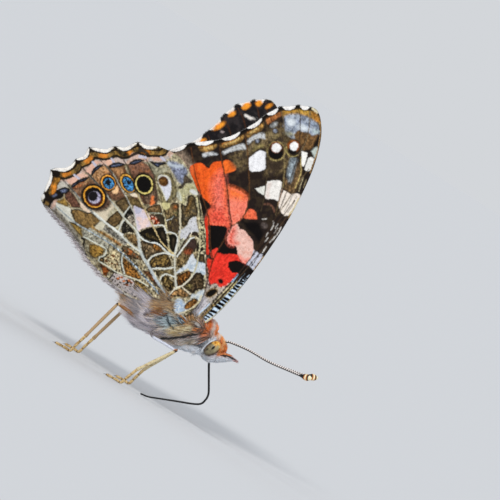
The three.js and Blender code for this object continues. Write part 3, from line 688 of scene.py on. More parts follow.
def laid_hairs(path, count, spread, length, direction, codes, girth, above=0.62):
    """Hairs laid over the coat of both flanks, rooted along a line of the side view and pointing one way."""
    line = flowing(path, step=0.05)
    roots = line[coat_draw.integers(0, len(line), count)] + coat_draw.normal(0, spread, (count, 2))
    angle = np.radians(direction) + coat_draw.normal(0, 0.14, count)
    reach = length * coat_draw.uniform(0.6, 1.2, count)[:, None]
    tips = roots + np.column_stack([np.cos(angle), np.sin(angle)]) * reach
    tones = np.array([shade(code) for code in codes])[coat_draw.integers(0, len(codes), count)]
    sets = []
    for side in SIDES.values():
        (start, rooted), (end, covered) = flank(*roots.T, side, above), flank(*tips.T, side, above)
        size = np.linalg.norm(end - start, axis=1)
        places = np.column_stack([along_body(start[:, 0]), np.full(count, 0.5 - 0.25 * side)])
        columns = [start, (end - start) / size[:, None], np.tile([0.0, side, 0.0], (count, 1)), size,
                   np.full(count, girth), np.zeros(count), np.zeros(count), tones, places]
        sets.append([column[rooted & covered] for column in columns])
    return [np.concatenate(pair) for pair in zip(*sets)]


laid = [
    # The near-black crease above the folded foreleg, as painted shade in the crease, with orange tufts behind
    # it
    laid_hairs([(5.5, 10.35), (4.7, 9.6), (3.4, 8.5), (2.3, 7.75)], 380, 0.04, 0.6, 222, ("0c0908", "1f1510"),
               0.04, 1.0),
    laid_hairs([(5.45, 11.0), (5.15, 10.6)], 24, 0.12, 0.6, 205, ("c8763a", "e09a5a"), 0.034),
    # Blue black and rust strokes behind the wing roots
    laid_hairs([(3.5, 10.95), (2.9, 10.3)], 26, 0.16, 1.1, 164, ("1c3446", "2c4a5c", "c4d2da"), 0.042, 0.8),
    laid_hairs([(2.9, 9.2), (1.9, 9.6), (1.4, 10.2)], 40, 0.06, 0.5, 150, ("22323a", "3a4a50"), 0.036),
    laid_hairs([(1.1, 10.6), (0.3, 10.1), (-0.4, 9.8)], 90, 0.16, 0.7, 215, ("7a4c28", "33231a", "a8703c"),
               0.036),
    laid_hairs([(4.2, 11.7), (3.7, 11.2)], 40, 0.16, 0.8, 130, ("b88448", "94683a", "d8b07c"), 0.034),
    # A pale tuft before the root of the forewing, and dark brown ones below it
    laid_hairs([(4.55, 11.6), (5.4, 11.4)], 44, 0.09, 0.4, 215, ("d8d2cc", "b8aea6"), 0.028, 0.7),
    laid_hairs([(6.0, 11.3), (5.6, 10.9)], 50, 0.12, 0.5, 215, ("4a3428", "6b4c38", "a8603a"), 0.034, 0.7),
    laid_hairs([(4.6, 10.6), (3.8, 9.8), (2.6, 9.2)], 90, 0.3, 0.9, 205, ("e2cf9e", "f0e6c8", "b89c68"),
               0.032),
    laid_hairs([(0.6, 8.9), (-1.5, 8.6), (-3.2, 9.2)], 150, 0.5, 1.4, 186, ("e8e0e8", "d6ccd6", "8c8492"),
               0.034),
    laid_hairs([(4.6, 8.4), (2.6, 7.7), (0.6, 7.4)], 90, 0.25, 1.2, 190, ("e8dcdc", "d8c8b8", "a89484"),
               0.032),
    laid_hairs([(-0.9, 9.3), (-1.7, 8.6), (-2.1, 8.1)], 40, 0.08, 0.8, 215, ("5c5660", "3c3a44"), 0.032),
    # The bright rim behind the eye, and the black line and orange fringe on the palps
    laid_hairs([(7.75, 11.1), (7.35, 10.4), (7.1, 9.5), (7.2, 8.9)], 160, 0.04, 0.35, 248,
               ("f2f6fc", "dfe8f4"), 0.026, 0.2),
    laid_hairs([(9.3, 9.62), (10.0, 9.95), (10.9, 10.05)], 130, 0.03, 0.4, 20, ("17110f",), 0.026, 0.12),
    laid_hairs([(9.4, 9.95), (10.3, 10.2)], 90, 0.06, 0.4, 30, ("e07c34", "f0a060"), 0.024, 0.12),
]
coat = [np.concatenate(parts) for parts in zip(grow_coat(0), grow_coat(1), *laid)]
coat_x, coat_y = coat[0][:, 0], coat[0][:, 1]
coat_order = np.lexsort((coat_x, coat_y > 0))
for part, start in enumerate(range(0, len(coat_order), HAIRS_AT_ONCE)):
    some = coat_order[start:start + HAIRS_AT_ONCE]
    points, triangles, colours, places = strands(*(values[some] for values in coat))
    make_piece(f"coat_{part + 1}", points, triangles, hair_finish, colours=colours,
               bake_map=places)


# Eyes
# Each compound eye is a smooth horny dome of many small facets, set in a rim of white and brown scales.


def eye_dome(side, columns=96, rows=48):
    theta = np.pi * np.arange(1, rows) / rows
    phi = 2 * np.pi * np.arange(columns) / columns
    ring = np.stack([
        np.sin(theta)[:, None] * np.cos(phi), np.sin(theta)[:, None] * np.sin(phi),
        np.repeat(np.cos(theta)[:, None], columns, axis=1)], axis=-1).reshape(-1, 3)
    ball = np.vstack([ring, [[0, 0, 1], [0, 0, -1]]]) * EYE_RADII
    c, s = np.cos(EYE_TILT), np.sin(EYE_TILT)
    turned = np.column_stack([ball[:, 0] * c - ball[:, 2] * s, ball[:, 1], ball[:, 0] * s + ball[:, 2] * c])
    points = (turned + EYE_CENTRE) * [1, side, 1]
    return points, outward(points, tube_triangles(rows - 1, columns))


def eye_colours(points):
    face = {"x": points[:, 0], "z": points[:, 2], "colour": np.zeros((len(points), 3))}
    face["colour"] = tone(face, np.arange(len(points)), "4a2e1c", None)
    oval(face, (8.02, 9.84), (1.08, 0.56), 66, "8a8062", edge=0.14, speckle=("726850", 0.4, 0.15))
    patch(face, [
        (7.6, 10.45), (8.1, 10.3), (8.6, 10.0), (8.9, 10.4), (8.7, 10.95), (8.2, 11.05), (7.75, 10.8)
    ], "dd9428", edge=0.16, speckle=("f0c866", 0.4, 0.15))
    patch(face, [(8.3, 10.35), (8.5, 10.55), (8.7, 10.3), (8.6, 9.7), (8.35, 9.5)], "a99c76", edge=0.12)
    oval(face, (8.1, 9.98), (0.3, 0.13), 76, "060505", edge=0.04)
    oval(face, (7.56, 9.38), (0.2, 0.09), 70, "241e16", edge=0.06)
    oval(face, (7.98, 10.6), (0.1, 0.08), 0, "7d3f18", edge=0.05)
    return face["colour"]


eye_finish, eye_shader, _ = new_finish("compound_eye", roughness=0.3, specular=0.3)
facet_place = add_node(eye_finish, "ShaderNodeTexCoord")
facets = add_node(eye_finish, "ShaderNodeTexVoronoi", {"Scale": 1 / (0.045 * MM), "Randomness": 0.25})
facet_relief = add_node(eye_finish, "ShaderNodeBump", {"Strength": 0.5, "Distance": 0.01 * MM})
facet_relief.invert = True
eye_finish.node_tree.links.new(facet_place.outputs["Object"], facets.inputs["Vector"])
eye_finish.node_tree.links.new(facets.outputs["Distance"], facet_relief.inputs["Height"])
eye_finish.node_tree.links.new(facet_relief.outputs["Normal"], eye_shader.inputs["Normal"])
for name, side in SIDES.items():
    eye_points, eye_triangles = eye_dome(side)
    make_piece(f"compound_eye_{name}", eye_points, eye_triangles, eye_finish,
               (f"eye_{name}",), colours=eye_colours(eye_points))


# Feeding tube
# Two grooved strips of dark horn locked side by side, bent at the elbow where the insect feeds.
elbow = (10.68, 0, 4.1)
upper_tube = [(8.1, 0, 8.9), (8.7, 0, 7.75), (9.75, 0, 6.05), (10.5, 0, 4.8), elbow]
lower_tube = [elbow, (10.45, 0, 3.2), (9.6, 0, 2.6), (7.6, 0, 1.75), (5.4, 0, 0.8), (4.3, 0, 0.35),
              (3.3, 0, 0.17)]
tube_finish, tube_shader, tube_colour = new_finish("feeding_tube", roughness=0.4, specular=0.25)
add_grain(tube_finish, tube_shader, tube_colour, 0.1, 0.2, 0.012)


def feeding_tube(path, start, end):
    halves = []
    for side in (-1, 1):
        strand = [(x, y + side * 0.05, z) for x, y, z in path]
        ridges = lambda share: (start + (end - start) * share) * (1 + 0.035 * np.sin(share * 320))
        halves.append(tube(strand, ridges, sides=16, step=0.05))
    return joined(halves)


for name, path, start, end in [("upper", upper_tube, 0.15, 0.13), ("lower", lower_tube, 0.13, 0.1)]:
    points, triangles, along = feeding_tube(path, start, end)
    face = {"x": points[:, 0], "z": points[:, 2]}
    colours = tone(face, np.arange(len(points)), "08090b", ("151416", 0.3, 0.3))
    make_piece(f"feeding_tube_{name}", points, triangles, tube_finish, (f"proboscis_{name}",),
               colours=colours)


# Feelers
# Thin jointed shafts, black ringed with white scales that are thicker above, ending in a flat dark club
# with a pale tip.
antenna_path = [(9.0, 0.7, 11.4), (9.6, 1.05, 11.66), (12, 2.7, 12.08), (15, 4.75, 12.25), (18, 6.75, 12.75),
                (19.6, 7.85, 13.05), (20.75, 8.55, 13.4)]
FEELER_JOINTS = 42
feeler_finish, feeler_shader, feeler_colour = new_finish("feeler", roughness=0.6, specular=0.3)
add_grain(feeler_finish, feeler_shader, feeler_colour, 0.06, 0.3, 0.015)


def feeler_radius(share):
    shaft = 0.135 + 0.022 * np.abs(np.sin(np.pi * share * FEELER_JOINTS))
    club = 0.28 * np.exp(-((share - 0.955) / 0.042) ** 2)
    return shaft + club - 0.04 * smooth_step(share, 0.98, 1)


def feeler_colours(points, along, middle_z):
    joint = along * FEELER_JOINTS % 1
    above = smooth_step(points[:, 2] - middle_z, -0.06, 0.08)
    pale = smooth_step(joint, 0.3, 0.4) * (1 - smooth_step(joint, 0.88, 0.98))
    white = (0.15 + 0.85 * above) * pale + 0.06 * above * (1 - pale)
    white = white * (1 - smooth_step(along, 0.87, 0.9))
    colours = shade("100c0b") * (1 - white[:, None]) + shade("f4ebe6") * white[:, None]
    # The club is black, with an orange and cream spot below and a pale tip
    rim = smooth_step(along, 0.934, 0.942) * (1 - smooth_step(along, 0.968, 0.974)) * (1 - 0.5 * above)
    colours = colours * (1 - rim[:, None]) + shade("d8823a") * rim[:, None]
    spot = smooth_step(along, 0.946, 0.952) * (1 - smooth_step(along, 0.96, 0.966))
    tip = np.maximum(spot, smooth_step(along, 0.98, 0.986))[:, None]
    return colours * (1 - tip) + shade("fbeec4") * tip


for name, side in SIDES.items():
    path = mirrored(antenna_path, side)
    if name == "left":
        path = [(x, y, z - 0.22 * np.sin(np.pi * (x - 9) / 13)) for x, y, z in path]
    points, triangles, along = tube(path, feeler_radius, sides=20, step=0.04)
    line = flowing(path, step=0.04)
    middle_z = np.interp(points[:, 0], line[:, 0], line[:, 2])
    make_piece(f"feeler_{name}", points, triangles, feeler_finish, (f"antenna_{name}",),
               colours=feeler_colours(points, along, middle_z))


# Walking legs
# Four slender legs of thigh, shin and five-jointed foot, scaled all over, with rows of short spines and a
# pair of claws. Each foot lies on the ground.
legs = {
    "midleg_right": [-1, (0.5, 1.6, 8.4), (0.75, 1.9, 7.2), (4.4, 3.5, 7.2), (1.6, 4.7, 2.7),
                     (0.75, 5.0, 0.3), (-1.3, 5.6, 0.2)],
    "midleg_left": [1, (0.5, 1.8, 8.6), (0.9, 2.2, 7.45), (4.1, 3.6, 7.1), (1.8, 4.8, 2.8), (1.1, 5.1, 0.3),
                    (-0.8, 5.7, 0.2)],
    "hindleg_right": [-1, (-0.9, 1.3, 8.9), (-2.2, 1.8, 8.15), (-4.9, 3.1, 8.35), (-6.1, 4.8, 2.8),
                      (-6.75, 5.15, 0.3), (-8.8, 5.6, 0.2)],
    "hindleg_left": [1, (-0.9, 1.3, 8.9), (-1.9, 1.8, 8.05), (-4.2, 3.2, 8.1), (-5.7, 4.8, 2.7),
                     (-6.4, 5.15, 0.3), (-8.4, 5.7, 0.2)],
}
leg_finish, leg_shader, leg_colour = new_finish("leg_scales", roughness=0.55, specular=0.3)
add_grain(leg_finish, leg_shader, leg_colour, 0.07, 0.25, 0.02)
leg_draw = np.random.default_rng(11)
FOOT_JOINTS = 5


def between(a, b, share):
    return tuple(np.array(a) + (np.array(b) - np.array(a)) * share)


def spike(root, tip, radius):
    """A thin closed spine with three sides."""
    root, tip = np.array(root), np.array(tip)
    ahead = (tip - root) / np.linalg.norm(tip - root)
    across = np.cross(ahead, [0.3, 0.5, 0.8])
    across /= np.linalg.norm(across)
    upward = np.cross(ahead, across)
    base = [root + radius * (np.cos(a) * across + np.sin(a) * upward) for a in (0, 2.094, 4.189)]
    return np.vstack([base, tip]), np.array([[0, 2, 1], [0, 1, 3], [1, 2, 3], [2, 0, 3]])


def spines(path, count, length, lean, radius, offset):
    """Spines along a limb, in rows round it, leaning towards its far end."""
    line = flowing(path, step=0.1)
    shapes = []
    for n in range(count):
        at = int((0.12 + 0.86 * (n + 0.5) / count) * (len(line) - 2))
        ahead = line[at + 1] - line[at]
        ahead /= np.linalg.norm(ahead)
        turn = 2.4 * n + leg_draw.uniform(-0.3, 0.3)
        across = np.cross(ahead, [0, 1, 0.01])
        across /= np.linalg.norm(across)
        out = np.cos(turn) * across + np.sin(turn) * np.cross(ahead, across)
        root = line[at] + out * offset * 0.6
        tip = root + (out * np.cos(lean) + ahead * np.sin(lean)) * (length * leg_draw.uniform(0.8, 1.2))
        tip[2] = max(tip[2], 0.03)
        shapes.append(spike(root, tip, radius))
    return shapes


for name, (side, root, bend, knee, ankle, touch, toe) in legs.items():
    thigh = mirrored([root, bend, between(bend, knee, 0.5), knee], side)
    shin = mirrored([knee, between(knee, ankle, 0.5), ankle], side)
    foot = mirrored([ankle, between(ankle, touch, 0.6), touch, between(touch, toe, 0.35), toe], side)
    thigh_girth = lambda share: (0.15 if "mid" in name else 0.19) + 0.04 * np.sin(np.pi * share)
    shin_girth = lambda share: 0.17 + 0.04 * np.sin(np.pi * share) + 0.07 * smooth_step(share, 0.85, 1)
    foot_girth = lambda share: 0.165 + 0.03 * np.abs(np.sin(np.pi * share * FOOT_JOINTS)) - 0.03 * share
    for part, path, girth in [("femur", thigh, thigh_girth), ("tibia", shin, shin_girth),
                              ("tarsus", foot, foot_girth)]:
        limb = tube(path, girth, sides=18, step=0.07)
        floor = 0.03 if part == "tarsus" else 0.0
        limb[0][:, 2] = np.maximum(limb[0][:, 2], floor)
        along = limb[2]
        face = {"x": limb[0][:, 0] * 1.3, "z": limb[0][:, 2] * 1.3}
        everywhere = np.arange(len(along))
        if part == "femur":
            colours = tone(face, everywhere, "d9deec" if "mid" in name else "96683a", ("a8a2ac", 0.25, 0.15))
            orange = smooth_step(along, 0.93, 0.98)[:, None]
            colours = colours * (1 - orange) + shade("c8782a" if "mid" in name else "d6b482") * orange
            hip = 1 - smooth_step(along, 0.24, 0.36)[:, None]
            colours = colours * (1 - hip) + shade("7c7477") * hip
        elif part == "tibia":
            colours = tone(face, everywhere, "d6c69c" if "mid" in name else "b0926c", ("a88c62", 0.3, 0.3))
            knee_end = 1 - smooth_step(along, 0.02, 0.06)[:, None]
            colours = colours * (1 - knee_end) + shade("3a281a") * knee_end
        else:
            colours = tone(face, everywhere, "ceb27e", ("a5824e", 0.35, 0.3))
            joint = (np.abs(np.sin(np.pi * along * FOOT_JOINTS)) < 0.22)[:, None]
            colours = np.where(joint, shade("7a5c38"), colours)
        shapes = [(limb[0], limb[1], colours)]
        rows = {"femur": (0, 0, 0), "tibia": (34, 0.34, 0.9), "tarsus": (60, 0.24, 0.7)}[part]
        for points, triangles in spines(path, *rows, 0.022, 0.18):
            shapes.append((points, triangles, np.tile(shade("3a2c20"), (4, 1))))
        if part == "tarsus":
            end = np.array(mirrored([toe], side)[0])
            for spread in (-0.16, 0.16):
                shapes.append((*spike(end + [0.05, 0, -0.02], end + [-0.42, spread, -0.14], 0.06),
                               np.tile(shade("241a14"), (4, 1))))
        points, triangles, colours = joined(shapes)
        make_piece(f"{name}_scaled_{part}", points, triangles, leg_finish, (f"{name}_{part}",),
                   colours=colours)


# Wings
# Four stiff thin membranes on a branching frame of veins, shingled on both faces with powdery coloured scales
# and edged with a fringe. They are held closed over the back, the hindwings outside the forewings.
HINGE_Z = 11.5
WING_HEIGHT = 30.5
WING_LEAN = {-1: np.radians(5.5), 1: np.radians(17.5)}  # outwards from upright, on the right and on the left
WING_CAMBER = 0.4
FORE_ROOT_OUT = 1.7
HIND_OVER_FORE = 1.05
INNER_FOLD = 1.1
FORE_PIVOT = (4.2, 12)
LEFT_FORE_BACK = np.radians(12)
MEMBRANE = 0.06  # half of its thickness
VEIN_RISE = 0.06

# Hindwing outline in runs that meet at the tips of the veins, from the front edge round to the inner one.
hind_front = [(1.6, 10.2), (2.7, 10.6), (3.3, 12.2), (3.72, 14.2), (3.1, 16.4), (1.7, 18.6), (-0.2, 21.7),
              (-2.6, 24.4), (-4.6, 26.2), (-6.6, 27.5), (-8.0, 28.0), (-9.4, 28.0), (-10.9, 27.75)]
hind_margin = [
    [(-10.9, 27.75), (-11.5, 27.38), (-12.2, 27.03), (-12.8, 26.97), (-13.4, 26.85)],
    [(-13.4, 26.85), (-13.8, 26.35), (-14.08, 25.85), (-14.45, 25.33), (-15.0, 25.1), (-15.5, 24.9)],
    [(-15.5, 24.9), (-15.95, 24.45), (-16.27, 23.95), (-16.85, 23.65), (-17.5, 23.38), (-18.25, 23.05)],
    [(-18.25, 23.05), (-18.28, 22.5), (-18.2, 22.0), (-18.42, 21.5), (-18.95, 20.85)],
    [(-18.95, 20.85), (-18.95, 20.4), (-19.02, 19.95), (-19.4, 19.3), (-19.95, 18.9), (-20.45, 18.62),
     (-20.9, 18.05)],
    [(-20.9, 18.05), (-20.62, 17.5), (-20.45, 16.9), (-20.35, 16.2), (-20.22, 15.6), (-20.15, 15.15)],
    [(-20.15, 15.15), (-20.18, 14.6), (-20.0, 14.15)],
]
hind_inner = [(-20.0, 14.15), (-19.2, 13.65), (-18.2, 13.35), (-16.5, 12.95), (-15.0, 12.45), (-13.6, 11.85),
              (-12.3, 11.1), (-10.2, 10.35), (-8, 9.85), (-5, 9.6), (-3.4, 9.9), (-1.5, 10.2), (1.6, 10.2)]
hind_veins = {
    "subcosta": [(0.3, 13.7), (0.85, 14.8), (1.15, 16.2), (0.95, 17.6), (0.3, 19.3), (-0.75, 21.2),
                 (-2.2, 23.3), (-3.5, 24.9)],
    "radius": [(0.25, 13.9), (-0.7, 15.2), (-1.4, 16.2), (-2.0, 17.3), (-2.35, 18.5), (-2.8, 19.6),
               (-3.3, 20.6), (-4.1, 21.9), (-4.9, 23.1)],
    "radius_tip": [(-4.9, 23.1), (-5.9, 24.3), (-7.0, 25.2), (-8.4, 26.1), (-10.7, 27.3)],
    "media1": [(-2.1, 17.3), (-3.0, 17.6), (-3.7, 18.5), (-4.5, 19.4), (-5.5, 20.5), (-6.6, 21.6),
               (-7.4, 22.4), (-8.3, 23.2), (-9.2, 24.2), (-10.8, 25.2), (-13.3, 26.6)],
    "media2": [(-2.2, 17.25), (-3.3, 17.5), (-4.4, 17.8), (-5.2, 18.25), (-6.3, 18.9), (-7.6, 19.7),
               (-9.0, 20.6), (-10.1, 21.3), (-11.4, 22.4), (-13.0, 23.6), (-15.3, 24.7)],
    "media3": [(-7.5, 17.2), (-8.3, 18.1), (-9.1, 19.0), (-10.0, 19.55), (-11.0, 20.2), (-12.6, 21.05),
               (-14.0, 21.8), (-15.4, 22.2), (-18.1, 22.9)],
    "cubitus1": [(-7.5, 17.2), (-8.3, 17.5), (-9.5, 17.75), (-11.0, 18.3), (-12.7, 18.9), (-14.2, 19.5),
                 (-16.2, 20.05), (-18.7, 20.75)],
    "cubitus2": [(-5.9, 15.3), (-7.2, 15.4), (-8.5, 15.65), (-10.0, 15.9), (-12.0, 16.1), (-13.4, 16.3),
                 (-15.2, 16.75), (-17.0, 17.3), (-18.8, 17.8), (-20.5, 18.05)],
    "cubital_stem": [(0.0, 12.4), (-0.9, 12.7), (-2.4, 13.4), (-4.2, 14.4), (-5.3, 14.95), (-6.2, 15.6),
                     (-6.9, 16.5), (-7.5, 17.2)],
    "anal2": [(-1.2, 12.1), (-2.4, 12.5), (-4.0, 13.0), (-6.0, 13.6), (-7.9, 14.0), (-10.0, 14.2),
              (-12.5, 14.15), (-15, 14.1), (-18.0, 14.6), (-19.5, 14.85)],
    "anal3": [(-2.9, 12.15), (-4.4, 12.15), (-5.6, 11.85), (-7.2, 11.6), (-9.0, 11.5), (-10.8, 11.2)],
}


def hind_underside(face):
    # Ground
    x, z = face["x"], face["z"]
    everywhere = np.arange(len(x))
    face["colour"] = tone(face, everywhere, "a89e82", ("8a7d60", 0.5, 0.5))
    dark, black, white = "2b241d", "17140f", "d9dbd4"
    grit = ("1c140c", 0.42, 0.19)
    face["burn"] = 0.72

    # Front part
    patch(face, [
        (-3.6, 25.35), (-4.4, 26.2), (-5.4, 26.9), (-6.4, 27.4), (-8.0, 27.9), (-10.4, 27.8), (-10.6, 27.2),
        (-9.2, 26.9), (-8.8, 25.6), (-7.0, 25.0), (-6.0, 24.3), (-4.9, 23.2), (-4.3, 23.4)
    ], "b3ab8a", edge=0.2, speckle=("9a9076", 0.5, 0.3))
    patch(face, [
        (-8.9, 26.75), (-8.2, 27.2), (-7.2, 27.3), (-6.4, 27.2), (-6.0, 26.7), (-6.15, 26.2), (-5.9, 25.7),
        (-5.9, 25.3), (-6.6, 25.35), (-7.4, 25.8), (-8.2, 26.2)
    ], "868ca2", edge=0.18, speckle=("676c7c", 0.4, 0.3))
    streak(face, [(-8.7, 26.6), (-8.0, 26.7), (-7.1, 27.15)], 0.36, "b9c2cb", edge=0.16)
    streak(face, [(-7.6, 25.9), (-6.6, 25.6), (-6.0, 25.35)], 0.14, "6d6c74", edge=0.08, strength=0.7)
    patch(face, [
        (-6.25, 26.35), (-5.9, 26.5), (-5.4, 26.4), (-4.95, 26.35), (-5.2, 25.95), (-5.6, 25.5),
        (-5.55, 24.9), (-6.0, 24.55), (-6.1, 24.9), (-5.9, 25.4)
    ], "54483a", edge=0.1)
    patch(face, [
        (-5.3, 25.75), (-4.7, 26.0), (-4.1, 25.9), (-3.55, 25.35), (-3.8, 24.95), (-4.5, 24.9),
        (-4.75, 24.3), (-4.3, 23.6), (-4.6, 23.2), (-5.5, 23.6), (-6.0, 24.3), (-5.6, 24.9)
    ], "b9b48d", edge=0.1, speckle=("a39b70", 0.4, 0.25))
    patch(face, [(-4.7, 25.3), (-4.2, 25.5), (-3.6, 25.3), (-3.75, 25.05), (-4.5, 24.95)], "cfcfcb", edge=0.1)
    patch(face, [(-5.9, 24.3), (-5.4, 24.1), (-4.9, 23.5), (-5.3, 23.45), (-5.9, 23.9)], "c5c8ba", edge=0.12)

    # Cells in front of the middle
    patch(face, [
        (-4.5, 24.35), (-4.3, 24.75), (-3.9, 24.85), (-3.5, 24.65), (-3.2, 24.2), (-2.6, 23.6),
        (-2.2, 22.95), (-2.6, 22.6), (-2.8, 22.0), (-2.75, 21.3), (-3.1, 20.8), (-3.45, 21.1), (-3.9, 21.9),
        (-4.7, 23.15), (-4.1, 23.25), (-4.25, 23.8)
    ], "6b5a3c", speckle=("4b4334", 0.45, 0.3), rim=dark, rim_width=0.1)
    patch(face, [
        (-4.1, 24.4), (-3.7, 24.3), (-3.5, 23.4), (-3.4, 22.4), (-3.8, 22.5), (-4.0, 23.4)
    ], "7d5f33", edge=0.2, strength=0.8)
    patch(face, [
        (-5.1, 23.0), (-4.75, 22.7), (-4.3, 21.9), (-4.15, 21.45), (-4.6, 21.3), (-4.9, 20.8), (-5.3, 20.4),
        (-6.15, 21.2), (-6.0, 21.8), (-5.8, 22.5), (-5.5, 22.85)
    ], "7a6644", speckle=("62603f", 0.4, 0.3), rim=dark, rim_width=0.09)
    patch(face, [(-5.5, 22.6), (-5.0, 22.8), (-4.8, 22.3), (-5.3, 22.0)], "8a5229", edge=0.15, strength=0.8)
    patch(face, [
        (-4.5, 21.35), (-3.9, 21.45), (-3.5, 20.8), (-3.1, 20.2), (-3.3, 19.7), (-3.7, 19.5), (-4.2, 19.4),
        (-4.6, 19.6), (-5.1, 20.2), (-4.9, 20.8)
    ], "483b2b", speckle=("6d5a2f", 0.3, 0.3), edge=0.1)
    streak(face, [(-4.7, 21.35), (-4.8, 20.9), (-5.2, 20.4)], 0.1, "b6bab2")
    patch(face, [
        (-8.1, 20.5), (-7.6, 21.15), (-7.0, 21.65), (-6.6, 21.35), (-6.15, 20.85), (-6.6, 20.5),
        (-7.3, 20.15), (-7.9, 20.1)
    ], "7d6140", speckle=("61502f", 0.4, 0.3), rim=dark, rim_width=0.08)
    streak(face, [(-6.2, 20.8), (-6.8, 20.5), (-7.4, 20.15)], 0.1, "aeb2a0")
    patch(face, [
        (-6.2, 20.7), (-5.6, 20.5), (-5.1, 20.0), (-5.5, 19.6), (-6.2, 19.8), (-6.8, 20.2)
    ], "3a3226", edge=0.1)
    patch(face, [
        (-7.2, 20.05), (-6.7, 20.15), (-6.0, 19.95), (-5.65, 19.6), (-6.2, 19.2), (-6.9, 19.3), (-7.3, 19.7)
    ], "8a3a20", speckle=("d9b49a", 0.42, 0.2))
    patch(face, [
        (-9.6, 19.75), (-9.0, 20.0), (-8.3, 20.1), (-7.3, 19.75), (-6.9, 19.3), (-6.3, 18.95), (-6.8, 18.4),
        (-7.35, 17.8), (-7.5, 17.3), (-8.2, 18.0), (-9.2, 19.1)
    ], "e2c8c0", speckle=("cfc3cc", 0.45, 0.5))
    patch(face, [(-9.6, 19.8), (-8.7, 20.0), (-8.4, 19.6), (-9.0, 19.1)], "b5b4c6", edge=0.15)

    # Black cells round the fork
    patch(face, [
        (-7.4, 17.2), (-6.95, 18.05), (-6.3, 18.75), (-5.9, 18.65), (-5.2, 18.15), (-4.4, 17.75),
        (-3.1, 17.4), (-4.3, 17.45), (-5.3, 17.2), (-6.3, 17.05)
    ], black, smooth=False)
    patch(face, [
        (-7.0, 17.35), (-6.3, 17.9), (-5.2, 17.9), (-4.6, 17.7), (-5.6, 17.4)
    ], "5e4f2d", edge=0.12, speckle=(dark, 0.5, 0.25), strength=0.85)
    patch(face, [
        (-5.95, 18.8), (-5.45, 19.3), (-5.0, 19.5), (-4.55, 19.25), (-4.0, 18.5), (-3.35, 17.75),
        (-3.1, 17.5), (-3.9, 17.65), (-4.9, 18.1)
    ], black, smooth=False)
    patch(face, [(-5.1, 19.0), (-4.5, 18.9), (-4.0, 18.2), (-4.8, 18.35)], "3f3527", edge=0.15)
    patch(face, [
        (-4.1, 19.05), (-3.65, 19.35), (-3.2, 19.45), (-2.8, 19.2), (-2.5, 18.5), (-2.15, 17.45),
        (-2.75, 17.4), (-3.1, 17.7), (-3.6, 18.4)
    ], black, smooth=False)
    patch(face, [(-3.5, 19.0), (-3.1, 19.1), (-2.8, 18.5), (-2.6, 17.8), (-3.1, 18.2)], "3f3527", edge=0.12)

    # White and speckled places behind the front edge
    patch(face, [
        (-2.75, 22.0), (-2.6, 22.5), (-2.3, 22.75), (-2.0, 22.4), (-1.6, 21.9), (-1.0, 21.3), (-1.3, 21.2),
        (-1.7, 20.8), (-1.8, 20.3), (-2.0, 19.6), (-2.6, 19.4), (-3.2, 20.1), (-2.85, 20.7), (-2.7, 21.4)
    ], "c6c6c9", speckle=("9c9c98", 0.35, 0.2), edge=0.08)
    patch(face, [
        (-3.3, 24.6), (-2.6, 24.2), (-1.4, 23.0), (-0.3, 21.7), (0.3, 20.8), (0.9, 19.8), (0.2, 19.6),
        (-0.6, 20.9), (-1.9, 22.8)
    ], "aea682", speckle=("332d22", 0.42, 0.17), edge=0.08)
    streak(face, [(-3.5, 25.1), (-2.9, 24.4), (-2.2, 23.6), (-1.9, 23.2)], 0.24, "332c22", edge=0.08)
    patch(face, [
        (-2.4, 19.5), (-2.0, 19.6), (-1.9, 18.6), (-1.9, 17.5), (-2.1, 17.6), (-2.3, 18.5)
    ], "a9a68d", speckle=("3c352b", 0.4, 0.2))
    streak(face, [(-1.85, 20.7), (-1.85, 19.6), (-1.85, 18.4), (-1.85, 17.5)], 0.18, "3b2c22", edge=0.07)
    patch(face, [
        (-1.4, 20.2), (-0.9, 20.3), (-0.5, 20.0), (-0.2, 19.4), (-0.25, 18.6), (-0.2, 18.0), (-0.45, 17.2),
        (-0.6, 16.3), (-1.1, 16.3), (-1.6, 17.0), (-1.5, 18.5)
    ], "85704c", speckle=("6b5838", 0.45, 0.3), edge=0.07)
    patch(face, [
        (-1.4, 20.2), (-0.9, 20.3), (-0.45, 20.0), (-0.2, 19.4), (-0.4, 18.9), (-1.0, 19.0), (-1.5, 18.9)
    ], "40302a", edge=0.12)
    patch(face, [
        (-1.2, 18.9), (-0.5, 19.1), (-0.3, 18.4), (-0.9, 18.0), (-1.4, 18.2)
    ], "84452a", edge=0.15, strength=0.85)
    patch(face, [(-1.55, 21.0), (-1.0, 21.1), (-0.7, 20.75), (-1.1, 20.7), (-1.6, 20.5)], "3b2c22")
    patch(face, [(-0.35, 20.05), (-0.05, 20.1), (0.15, 19.4), (0.05, 19.1), (-0.25, 19.6)], "29231c")
    patch(face, [(0.3, 19.9), (0.6, 19.8), (0.55, 19.3), (0.35, 19.4)], "29231c")
    patch(face, [
        (0.6, 18.95), (0.9, 19.3), (1.3, 19.0), (1.65, 18.5), (1.5, 18.2), (0.9, 18.2)
    ], "4d3f28", speckle=(dark, 0.4, 0.2))
    patch(face, [
        (-0.25, 18.6), (0.2, 18.3), (0.8, 18.15), (1.4, 18.35), (1.8, 18.35), (2.1, 17.9), (2.5, 17.2),
        (1.8, 17.0), (1.35, 16.8), (1.2, 16.3), (1.0, 16.7), (0.6, 16.6), (0.2, 16.75), (0.0, 16.4),
        (-0.3, 15.9), (-0.75, 15.4), (-0.6, 16.1), (-0.25, 16.9), (-0.25, 17.8)
    ], "cdd3d8", speckle=("a9b6c2", 0.4, 0.3), edge=0.07)

